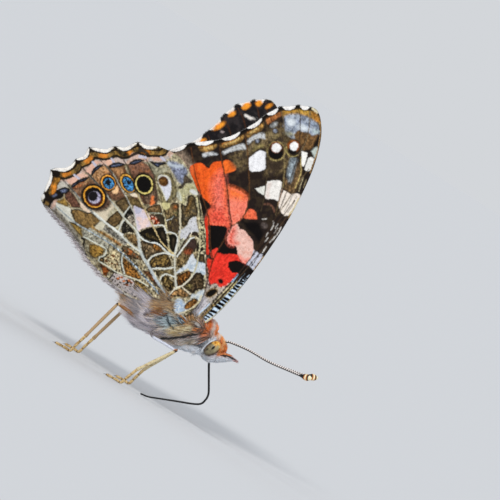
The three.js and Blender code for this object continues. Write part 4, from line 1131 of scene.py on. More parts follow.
    # Speckled brown cells near the root
    patch(face, [
        (-0.25, 15.5), (0.1, 16.1), (0.4, 16.55), (0.8, 16.55), (1.0, 16.1), (1.0, 15.6), (0.8, 14.9),
        (0.6, 14.5), (0.2, 14.2), (-0.1, 14.5), (-0.3, 15.1), (-0.6, 15.3)
    ], "845527", speckle=grit, rim="3a2716", rim_width=0.07)
    patch(face, [
        (1.3, 16.5), (1.5, 16.95), (2.1, 17.1), (2.5, 16.8), (2.85, 16.3), (3.15, 15.6), (2.75, 15.2),
        (2.5, 14.8), (2.3, 14.35), (1.6, 14.4), (0.95, 14.5), (1.15, 15.2), (1.3, 15.9)
    ], "5b4a32", speckle=("2a2119", 0.42, 0.2), rim=dark, rim_width=0.08)
    patch(face, [(1.1, 14.6), (1.8, 14.6), (1.9, 15.2), (1.3, 15.3)], "8a7a4c", edge=0.12, speckle=grit)
    patch(face, [
        (0.2, 13.9), (0.6, 14.2), (1.3, 14.15), (1.9, 14.1), (2.1, 13.8), (1.8, 13.4), (1.2, 13.2),
        (0.8, 13.1), (0.5, 12.5), (0.2, 11.8), (-0.1, 12.2), (0.1, 13.1)
    ], "957147", speckle=("7c5d38", 0.45, 0.3), edge=0.12)
    patch(face, [
        (2.3, 14.15), (2.7, 14.5), (3.0, 15.2), (3.45, 15.6), (3.65, 14.8), (3.5, 14.0), (2.9, 14.1),
        (2.5, 13.6), (2.35, 12.9), (2.0, 12.8), (1.4, 13.0), (1.0, 12.5), (1.3, 11.6), (2.2, 11.2),
        (2.6, 12.1), (3.0, 12.6)
    ], "ccd0ce", speckle=("b0bac2", 0.42, 0.25), edge=0.1)
    patch(face, [
        (1.3, 11.6), (2.2, 11.2), (2.6, 12.1), (2.2, 12.7), (1.5, 12.9), (1.1, 12.4)
    ], "9fb3ca", speckle=("ccd2d2", 0.4, 0.16), edge=0.3)
    oval(face, (2.85, 13.15), (0.98, 0.42), 66, dark)
    oval(face, (2.89, 13.12), (0.9, 0.34), 66, "7f5528", speckle=("5a3d20", 0.35, 0.2))

    # Cells behind the stem
    patch(face, [
        (-2.85, 16.85), (-2.3, 16.55), (-1.85, 16.2), (-1.75, 15.8), (-2.4, 15.25), (-3.0, 14.9),
        (-3.5, 14.5), (-4.05, 14.6), (-4.35, 15.0), (-4.25, 15.6), (-3.8, 16.2), (-3.3, 16.7)
    ], "7a6236", speckle=("27201a", 0.42, 0.18), rim="2f261b", rim_width=0.08)
    patch(face, [
        (-3.1, 14.35), (-2.2, 14.9), (-1.5, 15.5), (-1.0, 15.3), (-0.6, 14.95), (-1.5, 14.9), (-2.2, 14.5),
        (-2.4, 13.9)
    ], "93825a", speckle=("6e5a38", 0.4, 0.2))
    patch(face, [
        (-1.95, 14.35), (-1.5, 14.6), (-0.9, 14.4), (-0.35, 14.3), (0.0, 13.6), (-0.3, 13.0), (-1.0, 13.1),
        (-1.6, 13.5), (-1.95, 13.9)
    ], "75613a", speckle=grit, rim="33291d", rim_width=0.06)
    patch(face, [
        (-6.6, 16.6), (-6.2, 16.8), (-5.6, 16.9), (-4.9, 17.15), (-4.3, 17.2), (-3.6, 17.0), (-3.4, 16.85),
        (-4.1, 16.3), (-4.6, 15.6), (-4.7, 15.0), (-5.2, 15.0), (-5.6, 15.3), (-6.0, 15.8), (-6.4, 16.2)
    ], "746045", speckle=("5a4b35", 0.45, 0.35), rim="3b3024", rim_width=0.07)
    patch(face, [(-5.0, 17.1), (-4.2, 17.15), (-3.8, 16.9), (-4.4, 16.5), (-5.0, 16.7)], "8a5c28", edge=0.15)
    patch(face, [
        (-8.6, 16.2), (-8.0, 16.7), (-7.4, 16.75), (-6.9, 16.4), (-6.5, 15.9), (-6.35, 15.65), (-7.2, 15.7),
        (-8.2, 15.85)
    ], "8c7048", speckle=("6f5636", 0.4, 0.3), edge=0.08)

    # Cells farther out
    patch(face, [
        (-12.0, 18.4), (-11.7, 16.2), (-11.3, 15.95), (-10.9, 15.95), (-9.9, 15.9), (-9.7, 16.4),
        (-9.8, 17.6), (-9.9, 18.1), (-10.9, 18.5)
    ], "bdb59b", speckle=("a39a7e", 0.4, 0.3), edge=0.08)
    patch(face, [
        (-11.6, 16.15), (-11.5, 17.0), (-11.3, 17.6), (-11.15, 18.05), (-10.9, 18.15), (-10.1, 17.8),
        (-10.0, 17.2), (-10.1, 16.6), (-10.4, 16.1), (-11.0, 16.1)
    ], "6f5836", speckle=("57452c", 0.45, 0.3), rim="33291c", rim_width=0.07)
    patch(face, [
        (-11.85, 19.0), (-11.3, 19.95), (-10.8, 19.95), (-10.05, 19.5), (-9.95, 18.9), (-10.05, 18.3),
        (-10.7, 18.5), (-11.6, 18.75)
    ], "6f5b3b", speckle=("57472f", 0.45, 0.3), rim="3a2f22", rim_width=0.06)
    streak(face, [(-10.05, 19.4), (-10.1, 18.9), (-10.15, 18.2)], 0.16, "c3c6bd")
    patch(face, [
        (-9.95, 19.2), (-9.65, 19.35), (-9.2, 19.0), (-8.9, 18.7), (-9.1, 18.2), (-9.6, 17.95),
        (-10.0, 18.1)
    ], black, speckle=("4c473f", 0.35, 0.2))
    patch(face, [
        (-9.3, 18.75), (-8.8, 18.6), (-8.3, 17.9), (-8.2, 17.6), (-9.0, 17.8), (-9.5, 18.1)
    ], "aa9f8c", speckle=("5a5248", 0.35, 0.2))
    patch(face, [
        (-9.65, 17.55), (-8.9, 17.45), (-8.2, 17.2), (-7.85, 16.95), (-8.4, 16.7), (-8.8, 16.3),
        (-9.1, 16.1), (-9.5, 16.5), (-9.65, 17.1)
    ], "211d18", speckle=("66604f", 0.3, 0.2))
    streak(face, [(-9.75, 17.6), (-9.8, 17.0), (-9.65, 16.4), (-9.6, 16.0)], 0.18, "c7c9c0")
    patch(face, [
        (-11.3, 20.05), (-10.4, 20.65), (-9.4, 20.75), (-8.9, 20.4), (-8.0, 20.15), (-9.5, 19.85),
        (-10.1, 19.7)
    ], "74603c", speckle=("5b4a2e", 0.4, 0.3), edge=0.08)

    # Ground of the eyespots, cell by cell
    patch(face, [
        (-17.6, 17.4), (-16.3, 20.0), (-14.6, 19.5), (-12.4, 18.8), (-11.7, 18.4), (-11.9, 17.4),
        (-11.7, 16.3), (-13.4, 16.4), (-15.2, 16.8)
    ], "d3c5ab", edge=0.12)
    patch(face, [
        (-17.6, 17.4), (-16.4, 19.9), (-14.2, 19.4), (-12.5, 18.8), (-12.2, 18.2), (-12.6, 17.3),
        (-13.6, 16.6), (-15.2, 16.9)
    ], "86644a", edge=0.25, speckle=("6f4a36", 0.4, 0.3))
    patch(face, [
        (-17.3, 17.6), (-16.4, 18.2), (-15.9, 19.3), (-16.5, 19.9), (-17.1, 18.7)
    ], "a07c58", edge=0.18, speckle=("a4623c", 0.35, 0.3))
    patch(face, [
        (-13.3, 19.2), (-12.6, 18.9), (-12.3, 18.2), (-12.8, 17.2), (-13.4, 16.8), (-13.0, 18.0)
    ], "5c4436", edge=0.2)
    patch(face, [
        (-16.1, 20.2), (-15.4, 22.1), (-13.8, 21.7), (-12.4, 21.0), (-11.2, 20.2), (-11.8, 19.2),
        (-12.5, 19.0), (-14.3, 19.6)
    ], "7b5740", edge=0.12, speckle=("5f4433", 0.4, 0.3))
    patch(face, [
        (-16.1, 20.3), (-15.6, 22.0), (-14.6, 21.8), (-14.9, 20.9), (-14.9, 20.1), (-14.4, 19.7)
    ], "b58a60", edge=0.18, speckle=("97693f", 0.4, 0.3))
    patch(face, [
        (-13.2, 20.9), (-12.6, 20.75), (-12.25, 20.3), (-12.3, 19.9), (-12.7, 19.75), (-13.1, 20.0)
    ], "efc291", edge=0.1)
    patch(face, [
        (-15.0, 22.2), (-14.5, 23.0), (-13.4, 23.4), (-12.6, 22.9), (-11.5, 22.3), (-10.4, 21.4),
        (-9.6, 20.8), (-10.6, 20.6), (-12.5, 21.2), (-14.0, 21.9)
    ], "855e42", edge=0.1, speckle=("6a4b36", 0.4, 0.3))
    patch(face, [
        (-14.9, 22.25), (-14.2, 22.9), (-13.2, 23.2), (-12.7, 22.6), (-12.9, 21.7), (-13.8, 22.0)
    ], "a67a52", edge=0.18, speckle=("94552f", 0.3, 0.3))
    patch(face, [
        (-11.6, 20.85), (-10.9, 20.75), (-10.2, 20.75), (-9.85, 21.05), (-10.2, 21.25), (-10.9, 21.1)
    ], "e3d4bb", edge=0.08)
    patch(face, [
        (-13.0, 23.6), (-12.4, 24.6), (-11.2, 25.2), (-9.6, 24.6), (-8.4, 23.2), (-7.6, 22.2), (-7.4, 21.4),
        (-8.2, 20.9), (-8.9, 20.7), (-10.0, 21.5), (-11.6, 22.6)
    ], "7a5643", edge=0.12, speckle=("94603f", 0.3, 0.35))
    patch(face, [
        (-9.3, 24.2), (-8.5, 23.3), (-7.8, 22.4), (-7.3, 21.9), (-7.9, 21.2), (-8.8, 20.9), (-9.2, 21.6)
    ], "65503f", edge=0.15)
    patch(face, [
        (-8.35, 22.1), (-8.1, 22.1), (-7.95, 21.8), (-7.6, 21.5), (-7.9, 20.9), (-8.2, 21.4)
    ], "d4713c", edge=0.1)
    patch(face, [
        (-9.4, 24.3), (-8.6, 25.5), (-7.3, 25.5), (-6.2, 24.6), (-5.8, 23.6), (-6.2, 22.3), (-6.9, 21.9),
        (-7.8, 22.6), (-8.6, 23.5)
    ], "7d7353", edge=0.15, speckle=("655b3e", 0.4, 0.3))
    patch(face, [(-6.6, 22.2), (-5.9, 22.4), (-5.8, 21.8), (-6.3, 21.4), (-6.9, 21.8)], "c6bd88", edge=0.1)
    patch(face, [
        (-12.6, 24.9), (-11.2, 25.5), (-9.5, 25.6), (-8.6, 26.2), (-8.4, 25.7), (-9.4, 24.5), (-11.0, 25.1)
    ], "9d9880", edge=0.12, speckle=("7f7a63", 0.4, 0.3))

    # Hinder cells
    patch(face, [
        (-19.0, 15.0), (-17.0, 15.5), (-15.0, 15.9), (-12.4, 16.15), (-11.4, 16.0), (-8.0, 15.6),
        (-6.0, 15.3), (-5.0, 14.7), (-7.9, 14.1), (-12.0, 14.15), (-15.0, 14.0), (-18.6, 14.5)
    ], "b2a88c", edge=0.1, speckle=("8c7f61", 0.4, 0.3))
    patch(face, [
        (-18.5, 14.95), (-17.3, 15.1), (-16.3, 15.3), (-16.0, 14.9), (-15.3, 14.35), (-14.8, 14.1),
        (-15.6, 13.75), (-16.6, 14.0), (-17.8, 14.4)
    ], "cfcdbf", edge=0.08)
    patch(face, [
        (-18.6, 15.0), (-17.9, 15.5), (-17.6, 16.0), (-17.0, 15.75), (-16.6, 15.35), (-17.5, 15.1)
    ], "a78442", edge=0.1)
    patch(face, [
        (-17.7, 17.1), (-16.6, 16.9), (-15.8, 16.5), (-15.25, 16.1), (-15.6, 15.8), (-16.2, 15.5),
        (-16.8, 15.6), (-17.5, 16.0), (-17.8, 16.5)
    ], "6d4a39", speckle=("56392d", 0.4, 0.3), edge=0.08)
    streak(face, [(-17.75, 16.05), (-17.1, 15.8), (-16.6, 15.7), (-16.3, 15.5)], 0.1, "b89a68")
    patch(face, [
        (-15.7, 16.65), (-14.9, 16.7), (-13.9, 16.4), (-13.7, 16.1), (-14.6, 15.95), (-15.2, 16.15)
    ], "dcc5ad", edge=0.08)
    patch(face, [
        (-16.0, 15.1), (-15.5, 15.6), (-15.0, 15.75), (-14.2, 15.9), (-13.7, 16.2), (-13.1, 16.2),
        (-12.2, 16.05), (-12.2, 15.4), (-12.6, 15.0), (-12.9, 14.6), (-12.9, 14.2), (-14.0, 14.1),
        (-14.8, 14.1), (-15.4, 14.6)
    ], "86693d", speckle=("6d5634", 0.45, 0.3), edge=0.07)
    streak(face, [
        (-14.7, 14.1), (-15.4, 14.6), (-16.0, 15.1), (-15.5, 15.6), (-14.9, 15.8), (-14.1, 15.95),
        (-13.7, 16.22), (-13.0, 16.22), (-12.0, 16.1)
    ], 0.11, "201a14")
    streak(face, [
        (-12.8, 14.75), (-10.5, 14.8), (-8.6, 14.75)
    ], 0.36, "93723f", "8a5f31", edge=0.12, speckle=("6d5a3c", 0.3, 0.25))
    streak(face, [
        (-11.5, 15.5), (-9.9, 15.45), (-8.2, 15.3)
    ], 0.62, "77736a", edge=0.1, speckle=("332f2a", 0.35, 0.22))
    streak(face, [(-12.9, 14.4), (-10.5, 14.45), (-8.0, 14.3)], 0.16, "a9a899", edge=0.08)
    patch(face, [(-12.2, 15.95), (-11.5, 16.0), (-11.5, 15.0), (-12.4, 14.9)], "c8c1aa", edge=0.1)
    patch(face, [
        (-8.2, 14.85), (-7.5, 15.0), (-6.5, 14.95), (-5.6, 14.9), (-5.2, 14.55), (-6.0, 14.2),
        (-6.7, 13.95), (-7.4, 14.15), (-8.1, 14.3)
    ], "65523a", speckle=("8a4f26", 0.4, 0.25), edge=0.08)
    streak(face, [(-7.1, 14.15), (-6.6, 14.2)], 0.18, "1e1914", edge=0.08)
    patch(face, [
        (-4.5, 13.5), (-3.8, 13.8), (-3.0, 13.7), (-2.2, 13.3), (-1.5, 12.9), (-2.2, 12.85), (-3.4, 13.1)
    ], "6b4526", speckle=("4b3220", 0.4, 0.3), edge=0.1)
    patch(face, [
        (-15.5, 13.75), (-14.6, 13.95), (-13.8, 13.9), (-13.4, 13.4), (-13.1, 13.0), (-14.0, 13.2)
    ], "987a3d", edge=0.1)
    streak(face, [(-15.5, 13.75), (-14.9, 13.9), (-14.5, 13.92)], 0.12, "26201a")
    patch(face, [
        (-13.4, 14.0), (-12.6, 14.0), (-10.0, 14.0), (-9.7, 13.5), (-11.5, 13.4), (-13.1, 13.2)
    ], "a3a08f", speckle=("7b776a", 0.4, 0.25), edge=0.1)
    patch(face, [
        (-11.8, 12.8), (-11.0, 13.15), (-10.2, 13.2), (-9.8, 12.8), (-9.9, 12.4), (-10.2, 11.9),
        (-10.5, 11.6), (-11.1, 11.65), (-11.6, 12.2)
    ], "9f7b3a", speckle=("7f5d2a", 0.35, 0.3), edge=0.07)
    streak(face, [(-10.4, 11.6), (-11.1, 11.6), (-11.7, 12.3), (-11.9, 12.8)], 0.1, "3d2d1a", edge=0.06)
    streak(face, [(-13.1, 12.9), (-12.75, 12.85), (-12.5, 12.3), (-12.1, 11.7), (-11.6, 11.35)], 0.24, black)
    patch(face, [
        (-9.2, 13.3), (-8.2, 13.7), (-7.8, 13.4), (-7.6, 12.7), (-7.1, 12.1), (-6.7, 11.8), (-8.0, 11.7),
        (-9.1, 11.9), (-9.3, 12.6)
    ], "b9ab86", speckle=("5a3a1e", 0.42, 0.19), edge=0.07)
    patch(face, [
        (-7.5, 13.6), (-6.4, 13.45), (-5.4, 13.15), (-4.5, 12.85), (-4.1, 12.45), (-4.8, 12.15),
        (-5.8, 11.95), (-6.3, 12.15), (-7.0, 12.9)
    ], "a06c30", speckle=("3e2c1a", 0.36, 0.16), edge=0.07)
    oval(face, (-9.58, 11.88), (0.32, 0.34), 0, "241c14")
    oval(face, (-9.55, 11.82), (0.16, 0.17), 0, "6d5530")
    streak(face, [(-9.5, 13.35), (-9.2, 13.15), (-9.3, 12.6), (-9.5, 12.35)], 0.14, black)
    patch(face, [
        (-9.5, 11.35), (-8.7, 11.4), (-8.0, 11.3), (-8.1, 10.9), (-8.0, 10.45), (-8.5, 10.4), (-8.9, 10.8)
    ], "934f1f", speckle=("5b3418", 0.3, 0.25), edge=0.07)
    patch(face, [
        (-7.3, 11.4), (-6.0, 11.6), (-4.6, 11.8), (-3.2, 11.3), (-2.8, 10.4), (-4.5, 10.1), (-7.2, 10.2)
    ], "c2b7b2", speckle=("4a4038", 0.38, 0.19), edge=0.1)
    for spot in [(-6.3, 11.35), (-5.3, 11.5), (-5.15, 10.9), (-6.6, 11.0), (-5.8, 11.1), (-4.9, 11.45)]:
        oval(face, spot, (0.2, 0.12), 20, "b4622c", edge=0.07)
    patch(face, [
        (-4.6, 12.05), (-3.6, 12.1), (-2.8, 11.9), (-2.5, 11.4), (-3.0, 10.9), (-4.0, 10.8), (-4.4, 11.2)
    ], "8a7040", speckle=("57462a", 0.38, 0.18), edge=0.08)
    streak(face, [(-7.75, 11.42), (-7.3, 11.42)], 0.14, black)
    streak(face, [(-7.45, 11.4), (-7.45, 10.9), (-7.6, 10.15)], 0.15, black)
    streak(face, [(-5.1, 11.4), (-4.75, 11.2), (-4.75, 10.95)], 0.13, "2c241b")
    for lift, colour in [(0.0, "7b736a"), (0.3, "a09b8f"), (0.55, "6a625a"), (0.8, "948e82")]:
        streak(face, [(-19.6, 13.95 + lift * 0.3), (-17.5, 13.3 + lift), (-14.5, 12.4 + lift * 0.9),
                      (-12.0, 11.2 + lift * 0.5)], 0.3, colour, edge=0.12, strength=0.8,
               speckle=("57504a", 0.3, 0.2))
    streak(face, [
        (-12.4, 11.05), (-10.2, 10.4), (-8.0, 10.0), (-5.2, 9.85), (-4.0, 9.9)
    ], 0.2, "cfc9bb", edge=0.08)
    streak(face, [(-12.2, 10.95), (-10.2, 10.25), (-8.0, 9.8), (-5.2, 9.62)], 0.12, "4c423c", edge=0.08)

    # Veins and the pale lines beside them
    streak(face, hind_veins["cubital_stem"], 0.34, "a4b0b8", "c6c9c2", edge=0.08)
    streak(face, hind_veins["subcosta"], 0.17, "c9c2a0", "b3a982")
    streak(face, hind_veins["radius"], 0.2, "c9cac0", "c4b795")
    streak(face, hind_veins["radius_tip"], 0.13, "aea587", "8d8468", strength=0.8)
    streak(face, hind_veins["media1"], 0.15, "c2b68d", "6f664f")
    streak(face, hind_veins["media2"], 0.15, "dcc287", "665c4a")
    streak(face, hind_veins["media3"], 0.15, "c7c7bd", "4c4339")
    streak(face, hind_veins["cubitus1"], 0.18, "d2d4c6", "37302a")
    streak(face, hind_veins["cubitus2"], 0.22, "d5d8cf", "2c2621")
    streak(face, [(-9.0, 15.95), (-11.0, 16.08), (-13.4, 16.42)], 0.24, "dcded8", "cfd0c6")
    streak(face, hind_veins["anal2"], 0.2, "7f93a6", "a8aca6")
    streak(face, [
        (-2.9, 12.18), (-4.4, 12.15), (-5.6, 11.88), (-7.0, 11.6), (-8.5, 11.6), (-9.8, 11.55)
    ], 0.13, "d6d6c2")
    streak(face, [
        (-7.5, 17.35), (-6.95, 17.1), (-6.3, 16.98), (-5.5, 17.12), (-4.9, 17.42), (-4.3, 17.48),
        (-3.3, 17.3)
    ], 0.14, black)
    streak(face, [
        (-7.5, 17.25), (-7.0, 16.95), (-6.3, 16.85), (-5.5, 17.0), (-4.9, 17.3), (-4.3, 17.35),
        (-3.6, 17.2), (-2.9, 17.08), (-2.1, 17.15)
    ], 0.16, "d7dcd8")
    streak(face, [(-6.2, 19.02), (-5.75, 19.38), (-5.25, 19.6), (-4.85, 19.48), (-4.45, 19.1)], 0.13, white)
    streak(face, [
        (-4.4, 19.15), (-4.05, 19.38), (-3.5, 19.55), (-3.05, 19.45), (-2.75, 19.1), (-2.45, 18.3),
        (-2.15, 17.4)
    ], 0.14, white)
    streak(face, [(-1.15, 20.42), (-1.45, 20.1), (-1.52, 19.4), (-1.66, 18.5), (-1.72, 17.3)], 0.17, white)
    streak(face, [
        (-2.7, 17.0), (-3.3, 16.8), (-3.8, 16.4), (-4.2, 15.9), (-4.45, 15.4), (-4.5, 14.9), (-4.35, 14.6)
    ], 0.16, "d6d8d0")
    streak(face, [(-3.55, 14.35), (-2.9, 14.8), (-2.2, 15.2), (-1.4, 15.85)], 0.19, "cccfc9")
    streak(face, [(-0.5, 15.0), (-1.1, 14.85), (-1.7, 14.7), (-2.05, 14.2), (-2.0, 13.7)], 0.16, "d6d8ce")
    streak(face, [
        (1.22, 16.5), (1.16, 15.9), (1.0, 15.2), (0.75, 14.55), (0.3, 14.0), (0.1, 13.4), (0.0, 12.7)
    ], 0.13, "dcd6c6")
    streak(face, [(0.75, 14.45), (1.5, 14.25), (2.2, 14.15)], 0.11, "dcd0b8")
    streak(face, [(3.45, 14.7), (3.55, 13.8), (3.3, 12.9), (2.8, 12.0), (2.2, 11.3)], 0.15, "cfc4a0")
    streak(face, [
        (-7.8, 13.85), (-7.5, 13.2), (-7.1, 12.7), (-6.6, 12.2), (-6.3, 11.9)
    ], 0.32, "453a2c", edge=0.08)
    streak(face, [
        (-7.7, 13.85), (-7.42, 13.25), (-7.02, 12.72), (-6.55, 12.25), (-6.25, 11.95)
    ], 0.16, "c2c6bb")
    streak(face, [
        (-13.0, 13.15), (-11.5, 13.28), (-10.1, 13.38), (-9.7, 13.2), (-9.55, 12.8), (-9.65, 12.4),
        (-9.95, 12.0), (-9.9, 11.6)
    ], 0.14, "cfd3c6")

    # Eyespots
    oval(face, (-14.5, 18.1), (1.72, 1.62), -10, "1d1612", edge=0.12)
    oval(face, (-14.5, 18.1), (1.43, 1.28), -20, "eba83c", speckle=("c88426", 0.36, 0.16))
    oval(face, (-14.5, 18.1), (1.25, 1.12), -20, "15100d")
    oval(face, (-14.4, 18.0), (1.12, 1.02), -20, "4d1f14", edge=0.1, strength=0.8)
    oval(face, (-14.6, 18.2), (0.98, 0.98), 0, "15100d")
    oval(face, (-14.42, 18.05), (0.78, 0.78), 0, "8f8aa0", speckle=("b9b2c4", 0.45, 0.15), edge=0.07)
    oval(face, (-14.65, 18.1), (0.6, 0.62), 0, "1a1719", edge=0.07)
    oval(face, (-13.9, 20.55), (1.15, 1.02), -20, "16110d", edge=0.08)
    oval(face, (-13.9, 20.55), (1.0, 0.88), -20, "e09a3c", speckle=("b8752a", 0.36, 0.16))
    oval(face, (-13.85, 20.55), (0.86, 0.75), -20, "14100e")
    oval(face, (-13.78, 20.5), (0.72, 0.62), -20, "4886b6", speckle=("16222e", 0.42, 0.14))
    oval(face, (-13.95, 20.55), (0.36, 0.34), 0, "15171b", edge=0.08)
    oval(face, (-11.75, 21.78), (1.4, 0.98), -28, "16110d", edge=0.08)
    oval(face, (-11.78, 21.78), (1.25, 0.84), -28, "dea043", speckle=("b8963c", 0.35, 0.16))
    oval(face, (-11.7, 21.75), (1.09, 0.69), -28, "14100e")
    oval(face, (-11.65, 21.72), (0.94, 0.54), -28, "4888bc", speckle=("16222e", 0.38, 0.14))
    oval(face, (-11.75, 21.9), (0.34, 0.22), -20, "15171b", edge=0.08)
    oval(face, (-10.0, 22.75), (1.5, 1.34), -35, "120e0b", edge=0.12)
    oval(face, (-9.95, 22.75), (1.24, 1.1), -35, "dccb78", speckle=("a88e44", 0.34, 0.16))
    oval(face, (-9.97, 22.75), (1.06, 0.92), -35, "100e0d")
    patch(face, [
        (-8.95, 24.55), (-8.6, 25.0), (-8.0, 25.15), (-7.45, 24.95), (-6.9, 24.3), (-6.55, 23.5),
        (-6.45, 22.8), (-6.55, 22.5), (-7.1, 22.85), (-7.9, 23.4), (-8.6, 23.9)
    ], "d3d4dc", edge=0.07)
    streak(face, [
        (-6.55, 22.5), (-7.2, 22.95), (-8.3, 23.75), (-8.85, 24.3), (-8.65, 24.85), (-8.1, 25.1),
        (-7.5, 24.9)
    ], 0.1, "c9c6a8")
    oval(face, (-8.1, 24.35), (0.68, 0.6), -20, "553618", speckle=("6f4d26", 0.4, 0.25), edge=0.07)

    # Bands along the outer edge
    margin = margin_line(hind_margin)
    places = near(face, margin, 2.6)
    away, _ = to_line(face["x"][places], face["z"][places], margin)
    low = face["z"][places] > 14.0
    wobble = 0.16 * (mottle(face["x"][places], face["z"][places], 0.7, 3) - 0.5)
    reach = away + wobble
    band = lambda start, end, soft: np.clip((reach - start) / soft + 0.5, 0, 1) * np.clip(
        (end - reach) / soft + 0.5, 0, 1)
    dust(face, places, 0.9 * band(1.35, 2.0, 0.16) * low, tone(face, places, "c9a694", ("b6aca6", 0.45, 0.5)))
    dust(face, places, band(0.3, 1.22, 0.1) * low, tone(face, places, "8a6a35", ("5f4c2c", 0.45, 0.35)))
    for run in hind_margin[:6]:
        run = flowing(run)
        middle = run[len(run) // 2]
        inward = np.array([-(run[-1] - run[0])[1], (run[-1] - run[0])[0]])
        inward = inward / np.linalg.norm(inward)
        at = middle + 0.78 * inward
        dx, dz = x - at[0], z - at[1]
        close = np.flatnonzero(np.hypot(dx, dz) < 1.2)
        along = np.abs(dx[close] * inward[1] - dz[close] * inward[0])
        across = np.abs(dx[close] * inward[0] + dz[close] * inward[1])
        glow = np.clip((0.75 - along) / 0.35, 0, 1) * np.clip((0.36 - across) / 0.16, 0, 1)
        dust(face, close, 0.9 * glow, shade("c8792a"))
    dust(face, places, band(0.3, 0.54, 0.08) * low, shade("1c130d"))
    # The crescents inside the bands
    patch(face, [
        (-12.9, 26.35), (-12.2, 26.5), (-11.4, 26.35), (-11.3, 26.05), (-12.2, 26.0), (-12.7, 25.7)
    ], "37312a", edge=0.12, speckle=("5a5347", 0.3, 0.3))
    patch(face, [
        (-15.1, 24.6), (-14.6, 24.95), (-13.8, 25.0), (-13.5, 24.7), (-13.7, 24.35), (-14.4, 24.3)
    ], "4a4029", edge=0.14, speckle=("2a2319", 0.4, 0.3))
    for points, colour in [
        ([(-10.9, 26.3), (-10.4, 26.6), (-9.6, 26.65), (-9.9, 26.2), (-10.6, 25.95)], "cfa894"),
        ([(-13.3, 25.2), (-12.7, 25.6), (-11.9, 25.6), (-12.3, 25.1), (-12.9, 24.6), (-13.2, 24.3)],
         "cdb0a2"),
        ([(-15.0, 23.3), (-14.7, 23.8), (-13.9, 24.0), (-13.3, 23.9), (-13.4, 23.6), (-14.2, 23.4)],
         "c4b0a6"),
        ([(-15.55, 22.5), (-15.4, 23.1), (-14.95, 23.25), (-14.75, 22.8), (-15.0, 22.35)], "e0b39a"),
        ([(-16.95, 21.7), (-16.4, 22.2), (-15.8, 22.3), (-16.2, 21.9), (-16.35, 21.2), (-16.35, 20.3),
          (-17.0, 20.3), (-17.0, 21.1)], "dcae98"),
        ([(-16.7, 19.95), (-16.5, 19.9), (-17.3, 18.9), (-17.6, 17.9), (-18.5, 18.0), (-18.1, 18.8),
          (-17.7, 19.5)], "dcb09b"),
        ([(-19.0, 17.6), (-18.2, 17.6), (-17.9, 17.3), (-18.6, 16.6), (-19.2, 16.8)], "b9b4a8"),
    ]:
        patch(face, points, colour, edge=0.1)
    dust(face, places, 0.95 * band(1.08, 1.38, 0.08) * low, shade("160f0b"))
    for vein in ("media1", "media2", "media3", "cubitus1", "cubitus2"):
        streak(face, hind_veins[vein][-3:], 0.13, "2a2019", edge=0.07, strength=0.85)
    for points in [[(-16.9, 21.7), (-16.3, 21.5)], [(-18.0, 19.1), (-17.3, 19.05)],
                   [(-15.1, 23.3), (-14.6, 23.05)], [(-12.3, 25.4), (-11.6, 25.7)],
                   [(-9.9, 26.75), (-9.3, 26.65)]]:
        streak(face, points, 0.3, "bfbccb", edge=0.08)
    for points in [
        [(-15.62, 22.15), (-16.1, 21.7), (-16.4, 21.0), (-16.3, 20.3), (-16.05, 20.2), (-15.95, 20.9),
         (-15.7, 21.7)],
        [(-16.3, 19.85), (-16.9, 19.3), (-17.4, 18.6), (-17.7, 17.75), (-17.35, 17.65), (-17.0, 18.5),
         (-16.45, 19.2)],
        [(-17.55, 17.25), (-18.2, 17.2), (-18.75, 16.6), (-18.9, 16.2), (-18.1, 16.2), (-17.6, 16.7)],
        [(-13.3, 23.6), (-13.9, 23.5), (-14.55, 23.1), (-14.9, 22.5), (-14.7, 22.2), (-14.1, 22.6),
         (-13.6, 23.1)],
        [(-11.5, 25.35), (-12.2, 25.1), (-12.75, 24.5), (-12.95, 23.95), (-12.6, 23.95), (-12.0, 24.5),
         (-11.7, 25.0)],
        [(-8.85, 26.5), (-9.6, 26.25), (-10.2, 25.85), (-10.85, 25.6), (-10.4, 25.45), (-9.6, 25.45),
         (-9.4, 25.9)],
    ]:
        patch(face, points, "6d7590", rim="15110f", rim_width=0.16, speckle=("3a3f4c", 0.35, 0.2), edge=0.06)
    patch(face, [
        (-19.3, 15.2), (-18.9, 16.3), (-18.2, 16.4), (-17.8, 16.2), (-17.9, 15.7), (-18.5, 15.1),
        (-18.6, 14.6), (-19.3, 14.6)
    ], "1b1511", edge=0.1)
    patch(face, [(-19.15, 15.3), (-18.9, 15.9), (-18.5, 15.9), (-18.7, 15.4)], "6f7690", edge=0.08)
    patch(face, [
        (-20.0, 17.7), (-19.2, 17.8), (-19.15, 16.9), (-19.0, 16.2), (-19.1, 15.4), (-19.6, 16.2),
        (-19.9, 17.0)
    ], "a2712f", edge=0.12)
    patch(face, [
        (-19.6, 16.9), (-19.2, 16.7), (-19.0, 16.0), (-19.2, 15.5), (-19.5, 16.1)
    ], "d0802c", edge=0.12)

    # Fringe
    for tip, reach_in in [((-10.75, 27.5), 0.25), ((-13.2, 26.65), 0.36), ((-15.4, 24.75), 0.34),
                          ((-18.1, 22.95), 0.42), ((-18.6, 20.75), 0.5), ((-20.2, 18.05), 0.75),
                          ((-19.7, 15.1), 0.55), ((-19.4, 14.8), 0.5)]:
        oval(face, tip, (reach_in, reach_in * 0.75), 0, "1a130e", edge=0.12)
    margin_marks(face, hind_margin, 0.4, 0.05, "efeae2", ("cdc8c6", 0.3, 0.25))


